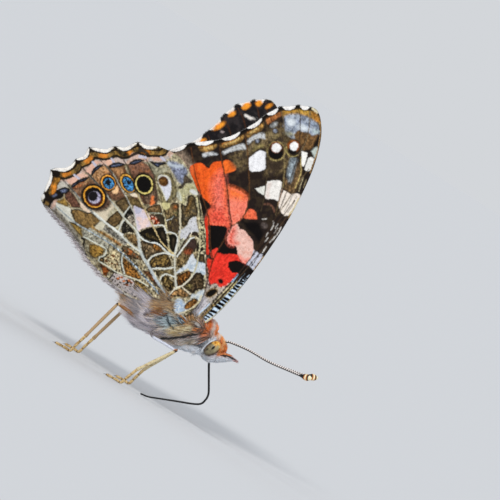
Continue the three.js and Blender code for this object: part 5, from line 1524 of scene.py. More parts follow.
fore_front = [(5.0, 11.3), (5.9, 12.6), (6.7, 15.6), (7.25, 19.5), (7.6, 24.5), (7.65, 29), (7.3, 33.3),
              (6.7, 36.6), (5.7, 39.5), (4.5, 41.3), (3.5, 42.05), (2.7, 42.05)]
fore_margin = [
    [(2.7, 42.05), (1.9, 41.65), (1.15, 41.4)],
    [(1.15, 41.4), (0.35, 40.65), (-0.7, 40.0)],
    [(-0.7, 40.0), (-1.15, 39.1), (-1.8, 38.05)],
    [(-1.8, 38.05), (-2.2, 36.7), (-3.05, 35.15)],
    [(-3.05, 35.15), (-3.85, 33.75), (-5.1, 32.4)],
    [(-5.1, 32.4), (-6.3, 31.35), (-7.85, 30.2)],
    [(-7.85, 30.2), (-8.75, 29.0), (-9.9, 27.7)],
]
fore_inner = [(-9.9, 27.7), (-8.6, 25.5), (-5.2, 21.4), (-1.6, 17.2), (1.2, 13.9), (3.0, 11.4), (5.0, 11.3)]
fore_veins = {
    "subcosta": [(4.9, 12.4), (5.5, 15), (6.1, 18.4), (6.7, 22.5), (7.1, 26), (7.3, 28.6)],
    "radius1": [(4.6, 12.3), (5.2, 15.4), (5.75, 18.6), (6.2, 22), (6.6, 26), (7.05, 31)],
    "radius5": [(6.2, 22.4), (6.2, 25.5), (6.15, 28.4), (5.6, 31.6), (5.0, 33.9), (4.4, 36.2), (3.3, 38.3),
                (2.1, 40.3), (1.4, 41.0)],
    "radius4": [(4.5, 36.0), (4.3, 38.3), (3.6, 40.1), (2.8, 41.5)],
    "radius2": [(6.2, 28.6), (6.35, 31.5), (6.35, 33.4), (6.5, 35.3)],
    "media1": [(6.0, 28.2), (5.2, 30.4), (4.3, 32.8), (3.2, 34.7), (2.2, 36.3), (0.9, 38.4), (-0.3, 39.6)],
    "media2": [(4.2, 27.6), (3.6, 29.4), (2.7, 31.4), (1.9, 33.1), (1.0, 34.5), (-0.2, 36.3), (-1.4, 37.7)],
    "media3": [(2.05, 24.1), (2.55, 25.3), (2.55, 26.8), (2.0, 28.3), (1.2, 29.7), (0.1, 31.3), (-1.0, 32.9),
               (-2.6, 34.8)],
    "cubitus1": [(3.6, 13), (3.4, 15.6), (2.7, 17.8), (2.25, 19.6), (2.15, 21.8), (2.05, 24.1), (0.9, 25.5),
                 (-1.2, 28.2), (-3.2, 30.3), (-4.7, 32.0)],
    "cubitus2": [(2.3, 19.3), (1.0, 20.7), (-0.9, 23.4), (-3.4, 25.6), (-5.4, 27.4), (-7.4, 29.7)],
    "anal": [(3.2, 12.6), (1.0, 15.4), (-2.6, 19.6), (-6.2, 23.6), (-9.1, 27.0)],
}


def fore_underside(face):
    everywhere = np.arange(len(face["x"]))
    face["colour"] = tone(face, everywhere, "241c19", ("33291f", 0.4, 0.5))
    black, dark = "120f0e", "1d1714"

    # Hidden hinder part, under the hindwing
    patch(face, [
        (3.4, 11.4), (-10, 27.5), (-6, 28.0), (-3.4, 25.4), (-1.2, 22.9), (1.4, 19.2), (3.2, 16.2)
    ], "a5907c", edge=0.6, speckle=("8f7d6b", 0.4, 0.4))

    # Orange fields
    patch(face, [
        (-4.2, 29.35), (-3.9, 29.85), (-3.35, 30.25), (-3.05, 30.15), (-2.2, 29.05), (-1.2, 27.85),
        (0.0, 26.25), (1.0, 24.95), (1.85, 24.0), (1.75, 23.75), (1.5, 23.6), (0.8, 23.4), (0.2, 23.0),
        (-0.6, 22.6), (-1.4, 23.9), (-1.5, 24.9), (-3.0, 25.3), (-5.0, 26.3), (-6.2, 27.5), (-6.0, 28.2),
        (-5.3, 28.8), (-4.2, 28.7)
    ], "ec5e22", speckle=("e05622", 0.3, 0.2), edge=0.07)
    patch(face, [
        (-2.6, 29.3), (-1.2, 27.7), (0.0, 26.15), (1.0, 24.85), (1.75, 23.9), (0.8, 23.5), (0.0, 23.0),
        (-1.0, 24.3), (-1.8, 25.8), (-2.8, 27.4)
    ], "f0725f", edge=0.7, speckle=("f5806d", 0.3, 0.25))
    patch(face, [
        (-1.2, 24.4), (0.2, 25.2), (1.6, 24.0), (1.0, 23.5), (0.0, 22.95), (-0.8, 23.3)
    ], "ee5a45", edge=0.5)
    patch(face, [
        (-0.9, 28.0), (-0.3, 28.25), (0.5, 28.4), (1.3, 28.4), (1.8, 28.3), (2.1, 27.9), (2.45, 27.1),
        (2.6, 26.2), (2.65, 25.5), (2.45, 24.95), (2.2, 24.4), (2.0, 24.15), (1.2, 25.2), (0.2, 26.5)
    ], "f58069", edge=0.06, speckle=("f3765c", 0.35, 0.2))
    patch(face, [
        (-0.9, 28.0), (0.5, 28.4), (1.6, 28.3), (1.7, 27.8), (0.4, 27.2), (-0.2, 27.0)
    ], "f4713a", edge=0.5)
    patch(face, [
        (2.7, 25.85), (2.75, 26.6), (2.8, 27.1), (3.3, 27.3), (3.7, 27.15), (4.0, 26.85), (4.25, 26.6),
        (3.9, 26.3), (3.4, 26.05), (3.0, 25.85)
    ], "ee6c48", edge=0.09)
    patch(face, [
        (-3.1, 30.4), (-2.7, 30.9), (-2.1, 30.95), (-1.5, 30.9), (-1.25, 30.5), (-1.35, 30.1),
        (-1.8, 29.55), (-2.2, 29.2), (-2.7, 29.8)
    ], "ec6a28", edge=0.07)
    patch(face, [(-6.2, 27.75), (-5.9, 27.8), (-5.5, 27.35), (-5.2, 27.0), (-5.8, 27.1)], "ee6a35", edge=0.08)
    patch(face, [
        (-1.3, 23.45), (-0.4, 22.4), (0.4, 21.2), (1.0, 20.3), (1.5, 19.65), (1.15, 19.5), (0.5, 20.3),
        (-0.2, 21.3), (-1.2, 22.9)
    ], "ea3c28", edge=0.08)
    patch(face, [
        (-3.3, 25.35), (-2.8, 25.15), (-1.7, 24.95), (-1.45, 24.6), (-1.65, 24.2), (-1.5, 23.7),
        (-2.0, 23.0), (-3.0, 24.3)
    ], dark, edge=0.1)

    # Cell of the forewing
    patch(face, [
        (2.2, 18.5), (2.15, 20.4), (2.4, 20.4), (2.8, 20.55), (3.2, 20.65), (3.8, 21.15), (4.5, 21.5),
        (5.0, 21.45), (5.7, 21.15), (6.2, 20.9), (6.0, 19.6), (5.7, 18.4), (5.4, 17.4), (5.0, 16.9),
        (4.6, 16.7), (4.0, 16.85), (3.6, 16.3), (3.3, 16.5), (3.05, 17.0), (2.75, 17.5)
    ], "e23428", speckle=("ea4030", 0.35, 0.2), edge=0.1)
    patch(face, [(1.6, 19.0), (1.9, 19.2), (2.15, 19.0), (2.4, 18.2), (2.1, 18.2)], "ea3c28", edge=0.07)
    patch(face, [
        (-0.5, 22.7), (0.4, 23.2), (1.2, 23.6), (1.7, 23.65), (1.9, 23.2), (2.1, 22.5), (2.3, 22.1),
        (2.8, 21.95), (3.4, 21.95), (3.8, 22.15), (4.2, 21.85), (4.65, 21.5), (4.0, 21.25), (3.5, 21.0),
        (3.0, 20.6), (2.5, 20.5), (2.3, 20.35), (1.9, 20.15), (1.2, 20.35), (0.6, 21.3), (0.0, 22.1)
    ], black, edge=0.06, smooth=False)
    patch(face, [(1.55, 19.9), (1.75, 20.6), (2.05, 20.85), (2.2, 20.4), (2.15, 19.4)], "ea4232", edge=0.07)
    patch(face, [
        (2.35, 24.75), (2.7, 24.6), (3.1, 24.4), (3.7, 24.5), (4.3, 24.3), (5.1, 24.05), (5.5, 23.65),
        (5.8, 23.25), (6.15, 23.0), (6.25, 22.4), (6.15, 21.6), (6.0, 21.1), (5.6, 20.95), (5.0, 21.3),
        (4.6, 21.5), (4.2, 21.95), (3.8, 22.25), (3.3, 22.05), (2.8, 22.05), (2.4, 22.4), (2.15, 23.0),
        (2.12, 23.8)
    ], "e9bcae", speckle=("dda898", 0.4, 0.25), edge=0.07)
    patch(face, [
        (2.2, 24.2), (2.45, 24.4), (2.9, 23.8), (3.2, 22.9), (3.9, 22.7), (3.3, 22.0), (2.6, 22.1),
        (2.2, 22.9)
    ], "ec6a58", edge=0.35, strength=0.9)
    patch(face, [
        (4.7, 21.6), (5.6, 21.5), (6.1, 21.9), (6.1, 21.1), (5.5, 20.9)
    ], "ee7a6a", edge=0.25, strength=0.8)
    patch(face, [
        (4.05, 20.1), (4.4, 20.45), (4.8, 20.8), (5.4, 20.95), (6.0, 20.9), (6.6, 20.85), (7.2, 20.95),
        (7.3, 20.2), (6.7, 20.0), (6.35, 19.3), (6.0, 19.5), (5.6, 19.5), (5.2, 19.2), (4.8, 19.3),
        (4.35, 19.6)
    ], black, edge=0.06, smooth=False)
    oval(face, (4.5, 17.55), (0.34, 0.3), 0, black, edge=0.1)
    patch(face, [
        (5.95, 23.0), (6.3, 23.05), (6.7, 23.05), (7.2, 23.1), (7.5, 22.4), (7.45, 21.6), (7.35, 20.9),
        (6.9, 21.0), (6.4, 21.1), (6.1, 20.95), (6.1, 21.5), (6.25, 22.2)
    ], "c3c5d2", speckle=("a7aabb", 0.35, 0.25), edge=0.07)
    streak(face, [(6.85, 23.05), (6.8, 21.0)], 0.12, "6d6b6c")

    # Root of the wing
    patch(face, [
        (2.8, 16.9), (3.3, 16.7), (3.6, 16.45), (4.2, 16.95), (4.8, 16.85), (5.3, 17.35), (5.55, 17.9),
        (5.6, 17.0), (5.35, 15.5), (4.9, 13.8), (4.5, 12.2), (4.3, 11.5), (3.3, 11.6), (3.4, 13.5),
        (3.3, 15.0), (3.0, 16.1)
    ], "bdb1a2", speckle=("a39a90", 0.4, 0.3), edge=0.12)
    # Pale lilac grey scales at the root, lightened further as painted light against the shadow of the
    # hindwing's edge.
    patch(face, [
        (3.5, 14.8), (4.4, 14.6), (4.9, 13.8), (4.4, 12.0), (3.6, 12.0)
    ], "d6d2d8", edge=0.35, speckle=("a9a6b0", 0.3, 0.12))
    for across in (0.0, 0.28, 0.62, 0.9):
        streak(face, [(3.45 + across, 12.6), (3.6 + 1.1 * across, 14.0), (3.6 + 1.5 * across, 15.2)], 0.07,
               "857c78", edge=0.06, strength=0.7)
    oval(face, (4.28, 15.7), (0.88, 0.47), 63, "8d6d3c", edge=0.1)
    oval(face, (4.28, 15.7), (0.76, 0.37), 63, "16120f", edge=0.07)
    streak(face, [(5.75, 18.4), (5.3, 16.6), (5.0, 15.0), (4.7, 13.6), (4.4, 12.0)], 0.09, "4a3a2c")
    streak(face, [(5.9, 18.2), (5.5, 16.4), (5.15, 14.9), (4.75, 13.3), (4.45, 12.0)], 0.14, "cbbd92")
    streak(face, [
        (6.2, 19.3), (6.0, 18.0), (5.65, 16.2), (5.4, 15.0), (5.05, 13.5), (4.7, 11.9)
    ], 0.2, "2d211a")
    patch(face, [
        (4.9, 11.9), (5.3, 13.5), (5.8, 15.6), (6.25, 17.6), (6.6, 20.0), (7.1, 20.0), (7.2, 19.6),
        (6.9, 16.2), (6.3, 13.4), (5.6, 11.9)
    ], "c9dcee", edge=0.06)
    bars = [(12.1, 0.18), (12.5, 0.2), (12.95, 0.2), (13.37, 0.26), (13.84, 0.34), (14.6, 0.38),
            (15.17, 0.38), (15.62, 0.28), (16.1, 0.3), (16.7, 0.26), (17.17, 0.24), (17.67, 0.28),
            (18.17, 0.28), (18.61, 0.3), (19.02, 0.24), (19.36, 0.22)]
    limits = [12.5, 13.8, 15.2, 16.1, 17.2, 18.8, 20]
    for n, (height, thick) in enumerate(bars):
        left = np.interp(height, limits, [4.9, 5.25, 5.66, 6.0, 6.28, 6.6, 6.7]) + 0.06 * np.sin(5 * n)
        right = np.interp(height, limits, [5.45, 6.02, 6.4, 6.62, 6.8, 6.98, 7.02])
        streak(face, [(left, height - 0.05 + 0.06 * np.sin(3 * n)), (right, height + 0.05 * np.sin(2 * n))],
               1.08 * thick, "050404", edge=0.04)
    streak(face, [(6.5, 18.4), (6.65, 19.3), (6.75, 20.3)], 0.24, "17110f")
    patch(face, [(6.6, 19.5), (7.25, 19.5), (7.3, 20.4), (6.7, 20.4)], "17110f", edge=0.15)
    streak(face, [(7.05, 19.75), (7.15, 20.1)], 0.1, "c9dcee")
    streak(face, [(4.75, 12.1), (5.0, 13.3), (5.3, 14.6)], 0.16, "7d5c26")
    streak(face, [(6.25, 18.6), (5.95, 16.8), (5.6, 15.2), (5.2, 13.7), (4.9, 12.2)], 0.11, "cdbf86")
    streak(face, [(4.2, 12.3), (4.6, 13.6), (4.8, 14.4)], 0.18, "c9dcf0")
    streak(face, [(4.45, 11.8), (5.3, 11.5)], 0.2, "ddd6ce")
    streak(face, [(5.1, 11.4), (5.95, 13.0), (6.46, 14.9), (6.8, 16.8), (7.03, 18.4)], 0.12, "b9ac84")
    streak(face, [(5.1, 11.4), (5.5, 12.1), (5.95, 13.0)], 0.17, "dccf9c")
    streak(face, [
        (7.25, 19.2), (7.45, 21.5), (7.62, 24.5), (7.7, 27), (7.66, 29.5), (7.45, 32.5), (6.7, 36.6)
    ], 0.2, "2a1f19")
    streak(face, [(7.35, 21.0), (7.5, 23.0)], 0.16, "b08a4a", edge=0.1)
    streak(face, [(7.6, 28.8), (7.5, 32.0)], 0.16, "a98756", edge=0.1)

    # Pale flecks beside the front edge
    for points, wide in [([(6.2, 27.4), (6.45, 26.9), (6.5, 26.3)], 0.13),
                         ([(6.8, 27.4), (6.85, 26.8)], 0.13), ([(6.35, 25.8), (6.4, 25.3)], 0.1),
                         ([(6.65, 25.3), (6.6, 24.7)], 0.12),
                         ([(7.4, 27.3), (7.45, 26.5), (7.3, 25.5), (7.15, 24.9)], 0.13),
                         ([(7.1, 27.0), (7.1, 26.2)], 0.1), ([(5.3, 27.2), (4.9, 26.9)], 0.12),
                         ([(7.05, 24.3), (7.1, 23.4)], 0.12)]:
        streak(face, points, wide, "c9c4bd", edge=0.07)
    oval(face, (5.5, 26.35), (0.34, 0.28), 0, "5f5450", edge=0.2)
    patch(face, [
        (2.85, 25.4), (3.5, 25.6), (4.6, 26.2), (5.9, 25.4), (6.0, 24.3), (5.0, 24.6), (3.7, 24.9)
    ], "100d0d", edge=0.2)
    streak(face, [(4.1, 28.6), (4.5, 28.9), (5.1, 28.9), (5.7, 28.5)], 0.22, "6d4a3a", edge=0.1)
    streak(face, [(5.9, 19.4), (5.82, 18.8), (5.7, 18.2)], 0.2, "acd0ee")

    # White bar across the tip
    patch(face, [
        (2.9, 31.2), (3.4, 31.65), (4.1, 32.15), (4.55, 32.15), (4.85, 31.6), (5.05, 31.0), (5.38, 30.1),
        (5.38, 29.85), (4.9, 29.8), (4.4, 29.6), (3.9, 29.35), (3.6, 29.4), (3.3, 30.2)
    ], "e9e5de", edge=0.06, smooth=False)
    patch(face, [
        (3.1, 31.0), (3.4, 30.3), (3.75, 29.5), (4.2, 29.6), (3.7, 30.4), (3.5, 31.3)
    ], "ddcdc4", edge=0.2)
    patch(face, [
        (5.25, 31.35), (5.8, 31.45), (6.1, 31.4), (6.5, 31.65), (6.9, 31.95), (7.35, 31.95), (7.55, 31.3),
        (7.65, 30.4), (7.6, 29.5), (7.35, 29.0), (7.0, 28.7), (6.4, 28.85), (5.9, 29.25), (5.6, 29.5),
        (5.4, 30.1)
    ], "e9ddd0", edge=0.06, smooth=False)
    streak(face, [(6.5, 31.5), (6.65, 30.2), (6.7, 29.2)], 0.12, "a6a098")
    streak(face, [(7.0, 31.6), (7.15, 30.0), (7.1, 29.3)], 0.12, "aca59a")
    streak(face, [(7.35, 31.5), (7.5, 30.0), (7.4, 29.2)], 0.14, "cabb8c")
    streak(face, [(5.0, 31.4), (5.4, 30.2), (5.65, 29.4)], 0.13, "a08270")
    patch(face, [
        (2.1, 29.65), (2.5, 30.15), (2.95, 30.65), (3.3, 29.95), (3.45, 29.55), (2.8, 29.5)
    ], "e0dfd6", edge=0.07, smooth=False)
    patch(face, [
        (0.0, 33.95), (0.3, 34.15), (0.9, 34.2), (1.3, 33.4), (1.85, 32.6), (1.8, 32.2), (1.3, 31.7),
        (0.7, 31.25), (0.3, 31.2), (0.0, 31.45), (-0.5, 32.2), (-0.58, 32.5), (-0.3, 33.3)
    ], "e9e8ea", edge=0.06, smooth=False)

    # Soft brown band and the tip
    patch(face, [
        (-2.7, 31.4), (-1.8, 33.4), (-1.6, 34.6), (-0.7, 35.9), (0.1, 37.6), (1.0, 38.3), (2.8, 37.7),
        (3.9, 35.5), (4.1, 33.5), (3.0, 32.3), (2.2, 31.7), (1.9, 32.7), (1.2, 33.9), (0.7, 34.5),
        (-0.2, 34.2), (-0.6, 33.2), (-0.75, 32.2), (-0.2, 31.2), (-1.0, 30.4)
    ], "66563b", edge=0.35, speckle=("40352a", 0.45, 0.4))
    patch(face, [(-0.9, 34.2), (-0.4, 34.9), (0.2, 34.7), (-0.3, 34.1), (-0.6, 33.5)], "8a7c4c", edge=0.15)
    patch(face, [
        (-0.5, 35.4), (0.3, 36.0), (0.9, 36.3), (1.0, 36.9), (0.3, 36.8), (-0.4, 36.2)
    ], "85764e", edge=0.25)
    patch(face, [
        (-1.3, 33.2), (-0.8, 34.9), (0.2, 36.9), (0.8, 37.4), (0.6, 36.2), (0.1, 35.2), (-0.5, 34.3)
    ], "7c6b4e", edge=0.3, strength=0.85)
    patch(face, [
        (0.9, 34.4), (1.6, 33.2), (2.4, 32.6), (3.3, 33.0), (3.4, 34.4), (2.6, 34.2), (1.8, 33.6)
    ], "3a2f24", edge=0.3)
    patch(face, [
        (4.6, 36.7), (5.0, 36.85), (5.32, 36.9), (5.55, 36.3), (5.8, 35.4), (5.6, 35.15), (5.3, 35.45),
        (4.95, 36.1)
    ], "ece9e2", edge=0.06)
    patch(face, [
        (5.75, 36.5), (6.1, 36.75), (6.42, 36.8), (6.58, 36.0), (6.68, 35.2), (6.3, 34.9), (6.0, 35.1),
        (5.88, 35.8)
    ], "e4e2dc", edge=0.06)
    oval(face, (1.85, 35.0), (1.18, 1.22), 0, "9a8b57", edge=0.1)
    oval(face, (1.83, 35.02), (1.06, 1.1), 0, "4a3524", edge=0.09)
    oval(face, (1.9, 34.85), (0.93, 0.9), 0, "110e0d", edge=0.09)
    oval(face, (1.6, 35.42), (0.72, 0.68), 0, "7b4526", edge=0.08)
    oval(face, (1.66, 35.4), (0.6, 0.57), 40, "ebe9e7", edge=0.07)
    oval(face, (3.35, 36.7), (0.8, 0.75), 0, "93501f", edge=0.1)
    oval(face, (3.55, 36.1), (0.55, 0.48), 0, "14100f", edge=0.08)
    oval(face, (3.42, 36.72), (0.52, 0.56), 0, "eceae8", edge=0.07)
    streak(face, [(2.65, 36.2), (3.0, 35.65), (3.5, 35.42), (4.05, 35.55), (4.4, 36.0)], 0.12, "a39458")
    for spot in [(0.42, 37.1), (-0.8, 34.85)]:
        oval(face, spot, (0.42, 0.4), 0, "26211e", edge=0.2)
        oval(face, spot, (0.2, 0.18), 0, "979dac", edge=0.12)
    patch(face, [
        (-0.1, 39.7), (0.5, 40.5), (1.4, 41.1), (2.4, 41.5), (3.4, 41.75), (4.3, 41.35), (4.9, 40.7),
        (4.3, 40.6), (3.2, 40.7), (2.2, 40.4), (1.2, 39.9), (0.5, 39.2)
    ], "a37c3c", edge=0.2, speckle=("86683a", 0.4, 0.3))
    for points, colour in [([(0.2, 39.9), (0.9, 40.6)], "c4923a"), ([(1.6, 40.9), (2.5, 41.3)], "c79c42"),
                           ([(3.4, 41.4), (4.3, 41.0)], "b0752f")]:
        streak(face, points, 0.45, colour, edge=0.22)
    patch(face, [
        (0.5, 39.2), (1.0, 39.9), (1.8, 40.4), (2.6, 40.6), (3.6, 40.75), (4.4, 40.65), (5.1, 39.95),
        (5.3, 39.5), (4.6, 39.05), (3.4, 38.85), (2.9, 38.5), (2.9, 37.6), (2.1, 37.5), (1.3, 38.0)
    ], "a1a9b4", edge=0.18, speckle=("8992a3", 0.4, 0.4))
    for centre, radii, colour in [
        ((1.55, 39.05), (0.5, 0.45), "d6dce0"), ((3.2, 39.25), (0.65, 0.35), "d3dadf"),
        ((2.7, 40.35), (0.2, 0.2), "6d7484"), ((4.15, 40.45), (0.35, 0.18), "7c8796"),
        ((2.4, 39.75), (0.25, 0.18), "7c849a"), ((1.8, 38.45), (0.5, 0.16), "878d98"),
        ((4.8, 39.7), (0.4, 0.25), "adbcba"), ((2.2, 37.75), (0.6, 0.25), "8b8870"),
    ]:
        oval(face, centre, radii, 20, colour, edge=0.2)
    patch(face, [
        (2.8, 38.6), (3.4, 38.8), (4.2, 39.1), (4.65, 39.0), (5.2, 39.6), (5.5, 39.3), (5.65, 38.5),
        (5.5, 37.7), (5.1, 37.0), (4.6, 36.85), (4.0, 37.3), (3.6, 37.6), (2.8, 37.8)
    ], "6d5030", speckle=("56402a", 0.4, 0.3), edge=0.1)
    patch(face, [
        (5.3, 39.7), (5.75, 39.0), (6.0, 38.3), (5.85, 37.7), (5.5, 37.9), (5.35, 38.8)
    ], dark, edge=0.1)
    patch(face, [
        (4.9, 37.1), (5.6, 37.5), (6.4, 36.9), (6.4, 36.7), (5.4, 36.95), (4.8, 36.8)
    ], "231c17", edge=0.1)
    patch(face, [
        (5.7, 37.95), (6.1, 38.25), (6.4, 37.5), (6.45, 37.0), (6.2, 36.9), (5.8, 37.2), (5.6, 37.4)
    ], "b2bbb4", edge=0.1)
    streak(face, [(4.7, 41.0), (5.6, 39.4), (6.4, 37.2), (6.9, 35.0)], 0.14, "95744a")
    patch(face, [
        (4.0, 35.3), (4.6, 35.5), (4.85, 35.0), (5.05, 34.2), (5.25, 33.5), (5.45, 32.8), (5.3, 32.4),
        (5.0, 32.8), (4.6, 33.4), (4.3, 34.0), (4.0, 34.8)
    ], "9ba7ad", speckle=("7b848c", 0.4, 0.3), edge=0.25)
    patch(face, [
        (4.9, 35.25), (5.5, 35.15), (6.0, 34.3), (6.25, 33.4), (6.5, 32.2), (6.5, 31.7), (5.9, 31.5),
        (5.4, 31.6), (5.0, 32.0), (4.6, 32.6), (4.9, 32.7), (5.6, 32.4), (5.45, 33.6), (5.1, 34.5)
    ], "7a5f3f", speckle=("57442e", 0.45, 0.3), edge=0.2)
    streak(face, [(6.45, 34.2), (6.7, 33.0), (6.9, 32.3)], 0.14, "9a8f6f")
    streak(face, [(6.95, 34.0), (7.15, 33.0)], 0.12, "85795c")
    patch(face, [(6.0, 34.9), (6.6, 34.7), (6.9, 33.9), (6.3, 34.2)], "1f1814", edge=0.1)

    # Grey and ochre bars along the outer edge
    for points in [
        [(-5.8, 29.8), (-5.4, 29.6), (-5.0, 30.1), (-4.6, 30.4), (-4.15, 30.75), (-4.5, 30.85), (-5.1, 30.55),
         (-5.6, 30.15)],
        [(-3.8, 31.4), (-3.5, 31.2), (-3.0, 31.9), (-2.3, 32.6), (-1.55, 33.2), (-1.7, 33.45), (-2.1, 33.65),
         (-2.7, 33.1), (-3.35, 32.15)],
        [(-1.9, 34.2), (-1.7, 33.8), (-1.45, 34.2), (-1.1, 35.0), (-0.5, 35.4), (-0.1, 35.6), (-0.5, 36.05),
         (-0.9, 36.05), (-1.4, 35.45), (-1.8, 34.7)],
    ]:
        patch(face, points, "c4c6c7", speckle=("a3a3a2", 0.35, 0.25), edge=0.12)
    oval(face, (-0.12, 37.65), (0.42, 0.26), 65, "9d9f9e", edge=0.15)
    for points in [
        [(-6.6, 30.3), (-5.8, 30.15), (-5.2, 30.7), (-4.85, 31.4), (-4.85, 31.7), (-5.3, 31.65),
         (-5.9, 31.1)],
        [(-4.5, 31.9), (-4.0, 31.95), (-3.4, 32.6), (-2.8, 33.3), (-2.55, 34.0), (-2.7, 34.55), (-3.1, 34.1),
         (-3.4, 33.4), (-3.95, 32.9)],
        [(-2.45, 34.95), (-2.0, 34.6), (-1.7, 35.3), (-1.3, 36.0), (-1.1, 36.6), (-1.35, 37.15), (-1.6, 36.8),
         (-1.85, 36.0), (-2.2, 35.5)],
    ]:
        patch(face, points, "a97f42", speckle=("7d5f36", 0.4, 0.3), edge=0.18)
    patch(face, [
        (-1.3, 37.8), (-0.9, 37.3), (-0.55, 37.8), (-0.2, 38.6), (0.05, 39.3), (-0.4, 39.4), (-0.9, 38.9)
    ], "a5683a", edge=0.15, speckle=("86502c", 0.4, 0.3))
    for points in [[(-5.9, 30.6), (-5.2, 31.2)], [(-4.1, 32.4), (-3.3, 33.2), (-2.95, 33.9)],
                   [(-2.1, 35.2), (-1.65, 36.2)]]:
        streak(face, points, 0.2, "cdb070", edge=0.12)
    for points in [[(-6.4, 30.5), (-5.4, 31.5)], [(-4.35, 32.2), (-3.5, 33.3), (-3.05, 34.3)],
                   [(-2.4, 35.1), (-1.95, 36.2), (-1.6, 36.9)]]:
        streak(face, points, 0.12, "bb702e", edge=0.1, strength=0.8)

    # Veins
    for name, wide, colour in [("radius5", 0.13, "3a2b20"), ("radius4", 0.12, "6f6048"),
                               ("radius2", 0.12, "6e5c42"), ("media1", 0.13, "5f5036"),
                               ("media2", 0.12, "4c3f2c"), ("media3", 0.14, "5a3c22"),
                               ("cubitus1", 0.15, "4f3320"), ("cubitus2", 0.14, "5b3820"),
                               ("radius1", 0.13, "3a2a20"), ("subcosta", 0.13, "4a382a")]:
        streak(face, fore_veins[name], wide, colour, edge=0.06, strength=0.85)
    streak(face, [(4.9, 36.0), (5.4, 35.2), (5.9, 34.4), (6.1, 33.6), (6.3, 32.4)], 0.14, "a5915a")
    streak(face, [(3.0, 35.0), (3.6, 34.2), (4.2, 33.2), (4.6, 32.4), (5.0, 31.6)], 0.14, "786946")

    # Fringe
    margin = margin_line(fore_margin)
    places = near(face, margin, 1.0)
    away, _ = to_line(face["x"][places], face["z"][places], margin)
    line = np.clip((0.56 - away) / 0.08 + 0.5, 0, 1) * np.clip((away - 0.3) / 0.06 + 0.5, 0, 1)
    dust(face, places, 0.85 * line, shade("2a1f15"))
    dust(face, places, (0.4 - away) / 0.1 + 0.5, shade("15110f"))
    margin_marks(face, fore_margin, 0.46, 0.15, "efece8", ("d0cccb", 0.3, 0.25))
    streak(face, [(2.95, 41.95), (3.65, 41.85)], 0.3, "d9cfae", edge=0.1)


def fore_upperside(face):
    everywhere = np.arange(len(face["x"]))
    face["colour"] = tone(face, everywhere, "dd6a2a", ("c9582a", 0.3, 0.4))
    black, white = "1c1a1c", "e6e2dc"
    patch(face, [
        (7.9, 33.0), (7.9, 43), (-12, 43), (-12, 27), (-9.2, 26.8), (-6.2, 28.6), (-4.0, 30.2),
        (-1.2, 30.8), (0.2, 30.2), (2.4, 28.2), (3.2, 26.4), (3.4, 25.0), (5.6, 24.4), (7.9, 24.8)
    ], black, edge=0.3, speckle=("2d292a", 0.4, 0.5))
    patch(face, [
        (7.9, 11), (7.9, 24), (7.2, 24), (6.4, 18), (5.6, 14.2), (3.9, 14.6), (1.6, 17.2), (-1.8, 18.0),
        (3.0, 11)
    ], "5d4230", edge=0.9, speckle=("7a573a", 0.4, 0.4))
    patch(face, [
        (-0.5, 22.7), (1.4, 23.6), (1.9, 23.0), (2.4, 22.1), (3.6, 22.0), (4.6, 21.5), (3.2, 20.6),
        (1.9, 20.1), (0.8, 20.9)
    ], black, edge=0.1)
    patch(face, [
        (4.2, 20.1), (4.9, 20.8), (6.3, 20.9), (7.2, 20.9), (7.2, 20.1), (6.0, 19.6), (4.9, 19.3)
    ], black, edge=0.1)
    patch(face, [(-3.9, 25.4), (-2.2, 25.3), (-1.6, 24.2), (-2.2, 23.2), (-4.2, 23.8)], black, edge=0.12)
    oval(face, (-5.4, 26.4), (0.75, 0.55), -40, black, edge=0.12)
    for points in [
        [(2.9, 31.2), (4.1, 32.15), (4.55, 32.1), (5.3, 30.1), (4.9, 29.8), (3.7, 29.4)],
        [(5.25, 31.35), (6.5, 31.65), (7.3, 31.9), (7.6, 30.4), (7.3, 29.0), (6.4, 28.9), (5.5, 29.6)],
        [(2.2, 29.7), (2.9, 30.5), (3.4, 29.6)],
        [(0.0, 33.9), (0.9, 34.1), (1.75, 32.5), (0.7, 31.4), (0.0, 31.5), (-0.5, 32.4)],
        [(4.65, 36.7), (5.3, 36.85), (5.75, 35.3), (5.2, 35.6)],
        [(5.8, 36.5), (6.4, 36.7), (6.6, 35.2), (6.0, 35.1)],
        [(1.3, 35.6), (1.9, 35.8), (2.1, 35.2), (1.5, 35.0)],
        [(3.1, 37.1), (3.7, 37.2), (3.8, 36.5), (3.2, 36.4)],
    ]:
        patch(face, points, white, edge=0.07)
    streak(face, [(0.95, 39.05), (1.6, 38.95), (2.3, 39.15)], 0.36, white, edge=0.1)
    oval(face, (-1.1, 35.95), (0.2, 0.16), 0, "b5a9a8", edge=0.1)
    for name in fore_veins:
        streak(face, fore_veins[name], 0.13, "4a2c1a", edge=0.06, strength=0.8)
    streak(face, [(4.2, 35), (2.9, 38.6), (0.9, 39.9)], 0.5, black, edge=0.2)
    margin_marks(face, fore_margin, 0.5, 0.2, white)
    for spot, radii in [((3.3, 41.3), (0.45, 0.22)), ((1.95, 41.2), (0.45, 0.38)),
                        ((0.6, 40.25), (0.62, 0.4)), ((-0.75, 38.6), (0.52, 0.3)),
                        ((-1.75, 36.5), (0.85, 0.33)), ((-3.0, 33.95), (0.4, 0.25)),
                        ((-5.1, 31.6), (0.45, 0.22))]:
        oval(face, spot, radii, 55, "ef9a30", edge=0.12, speckle=("d97c28", 0.3, 0.25))


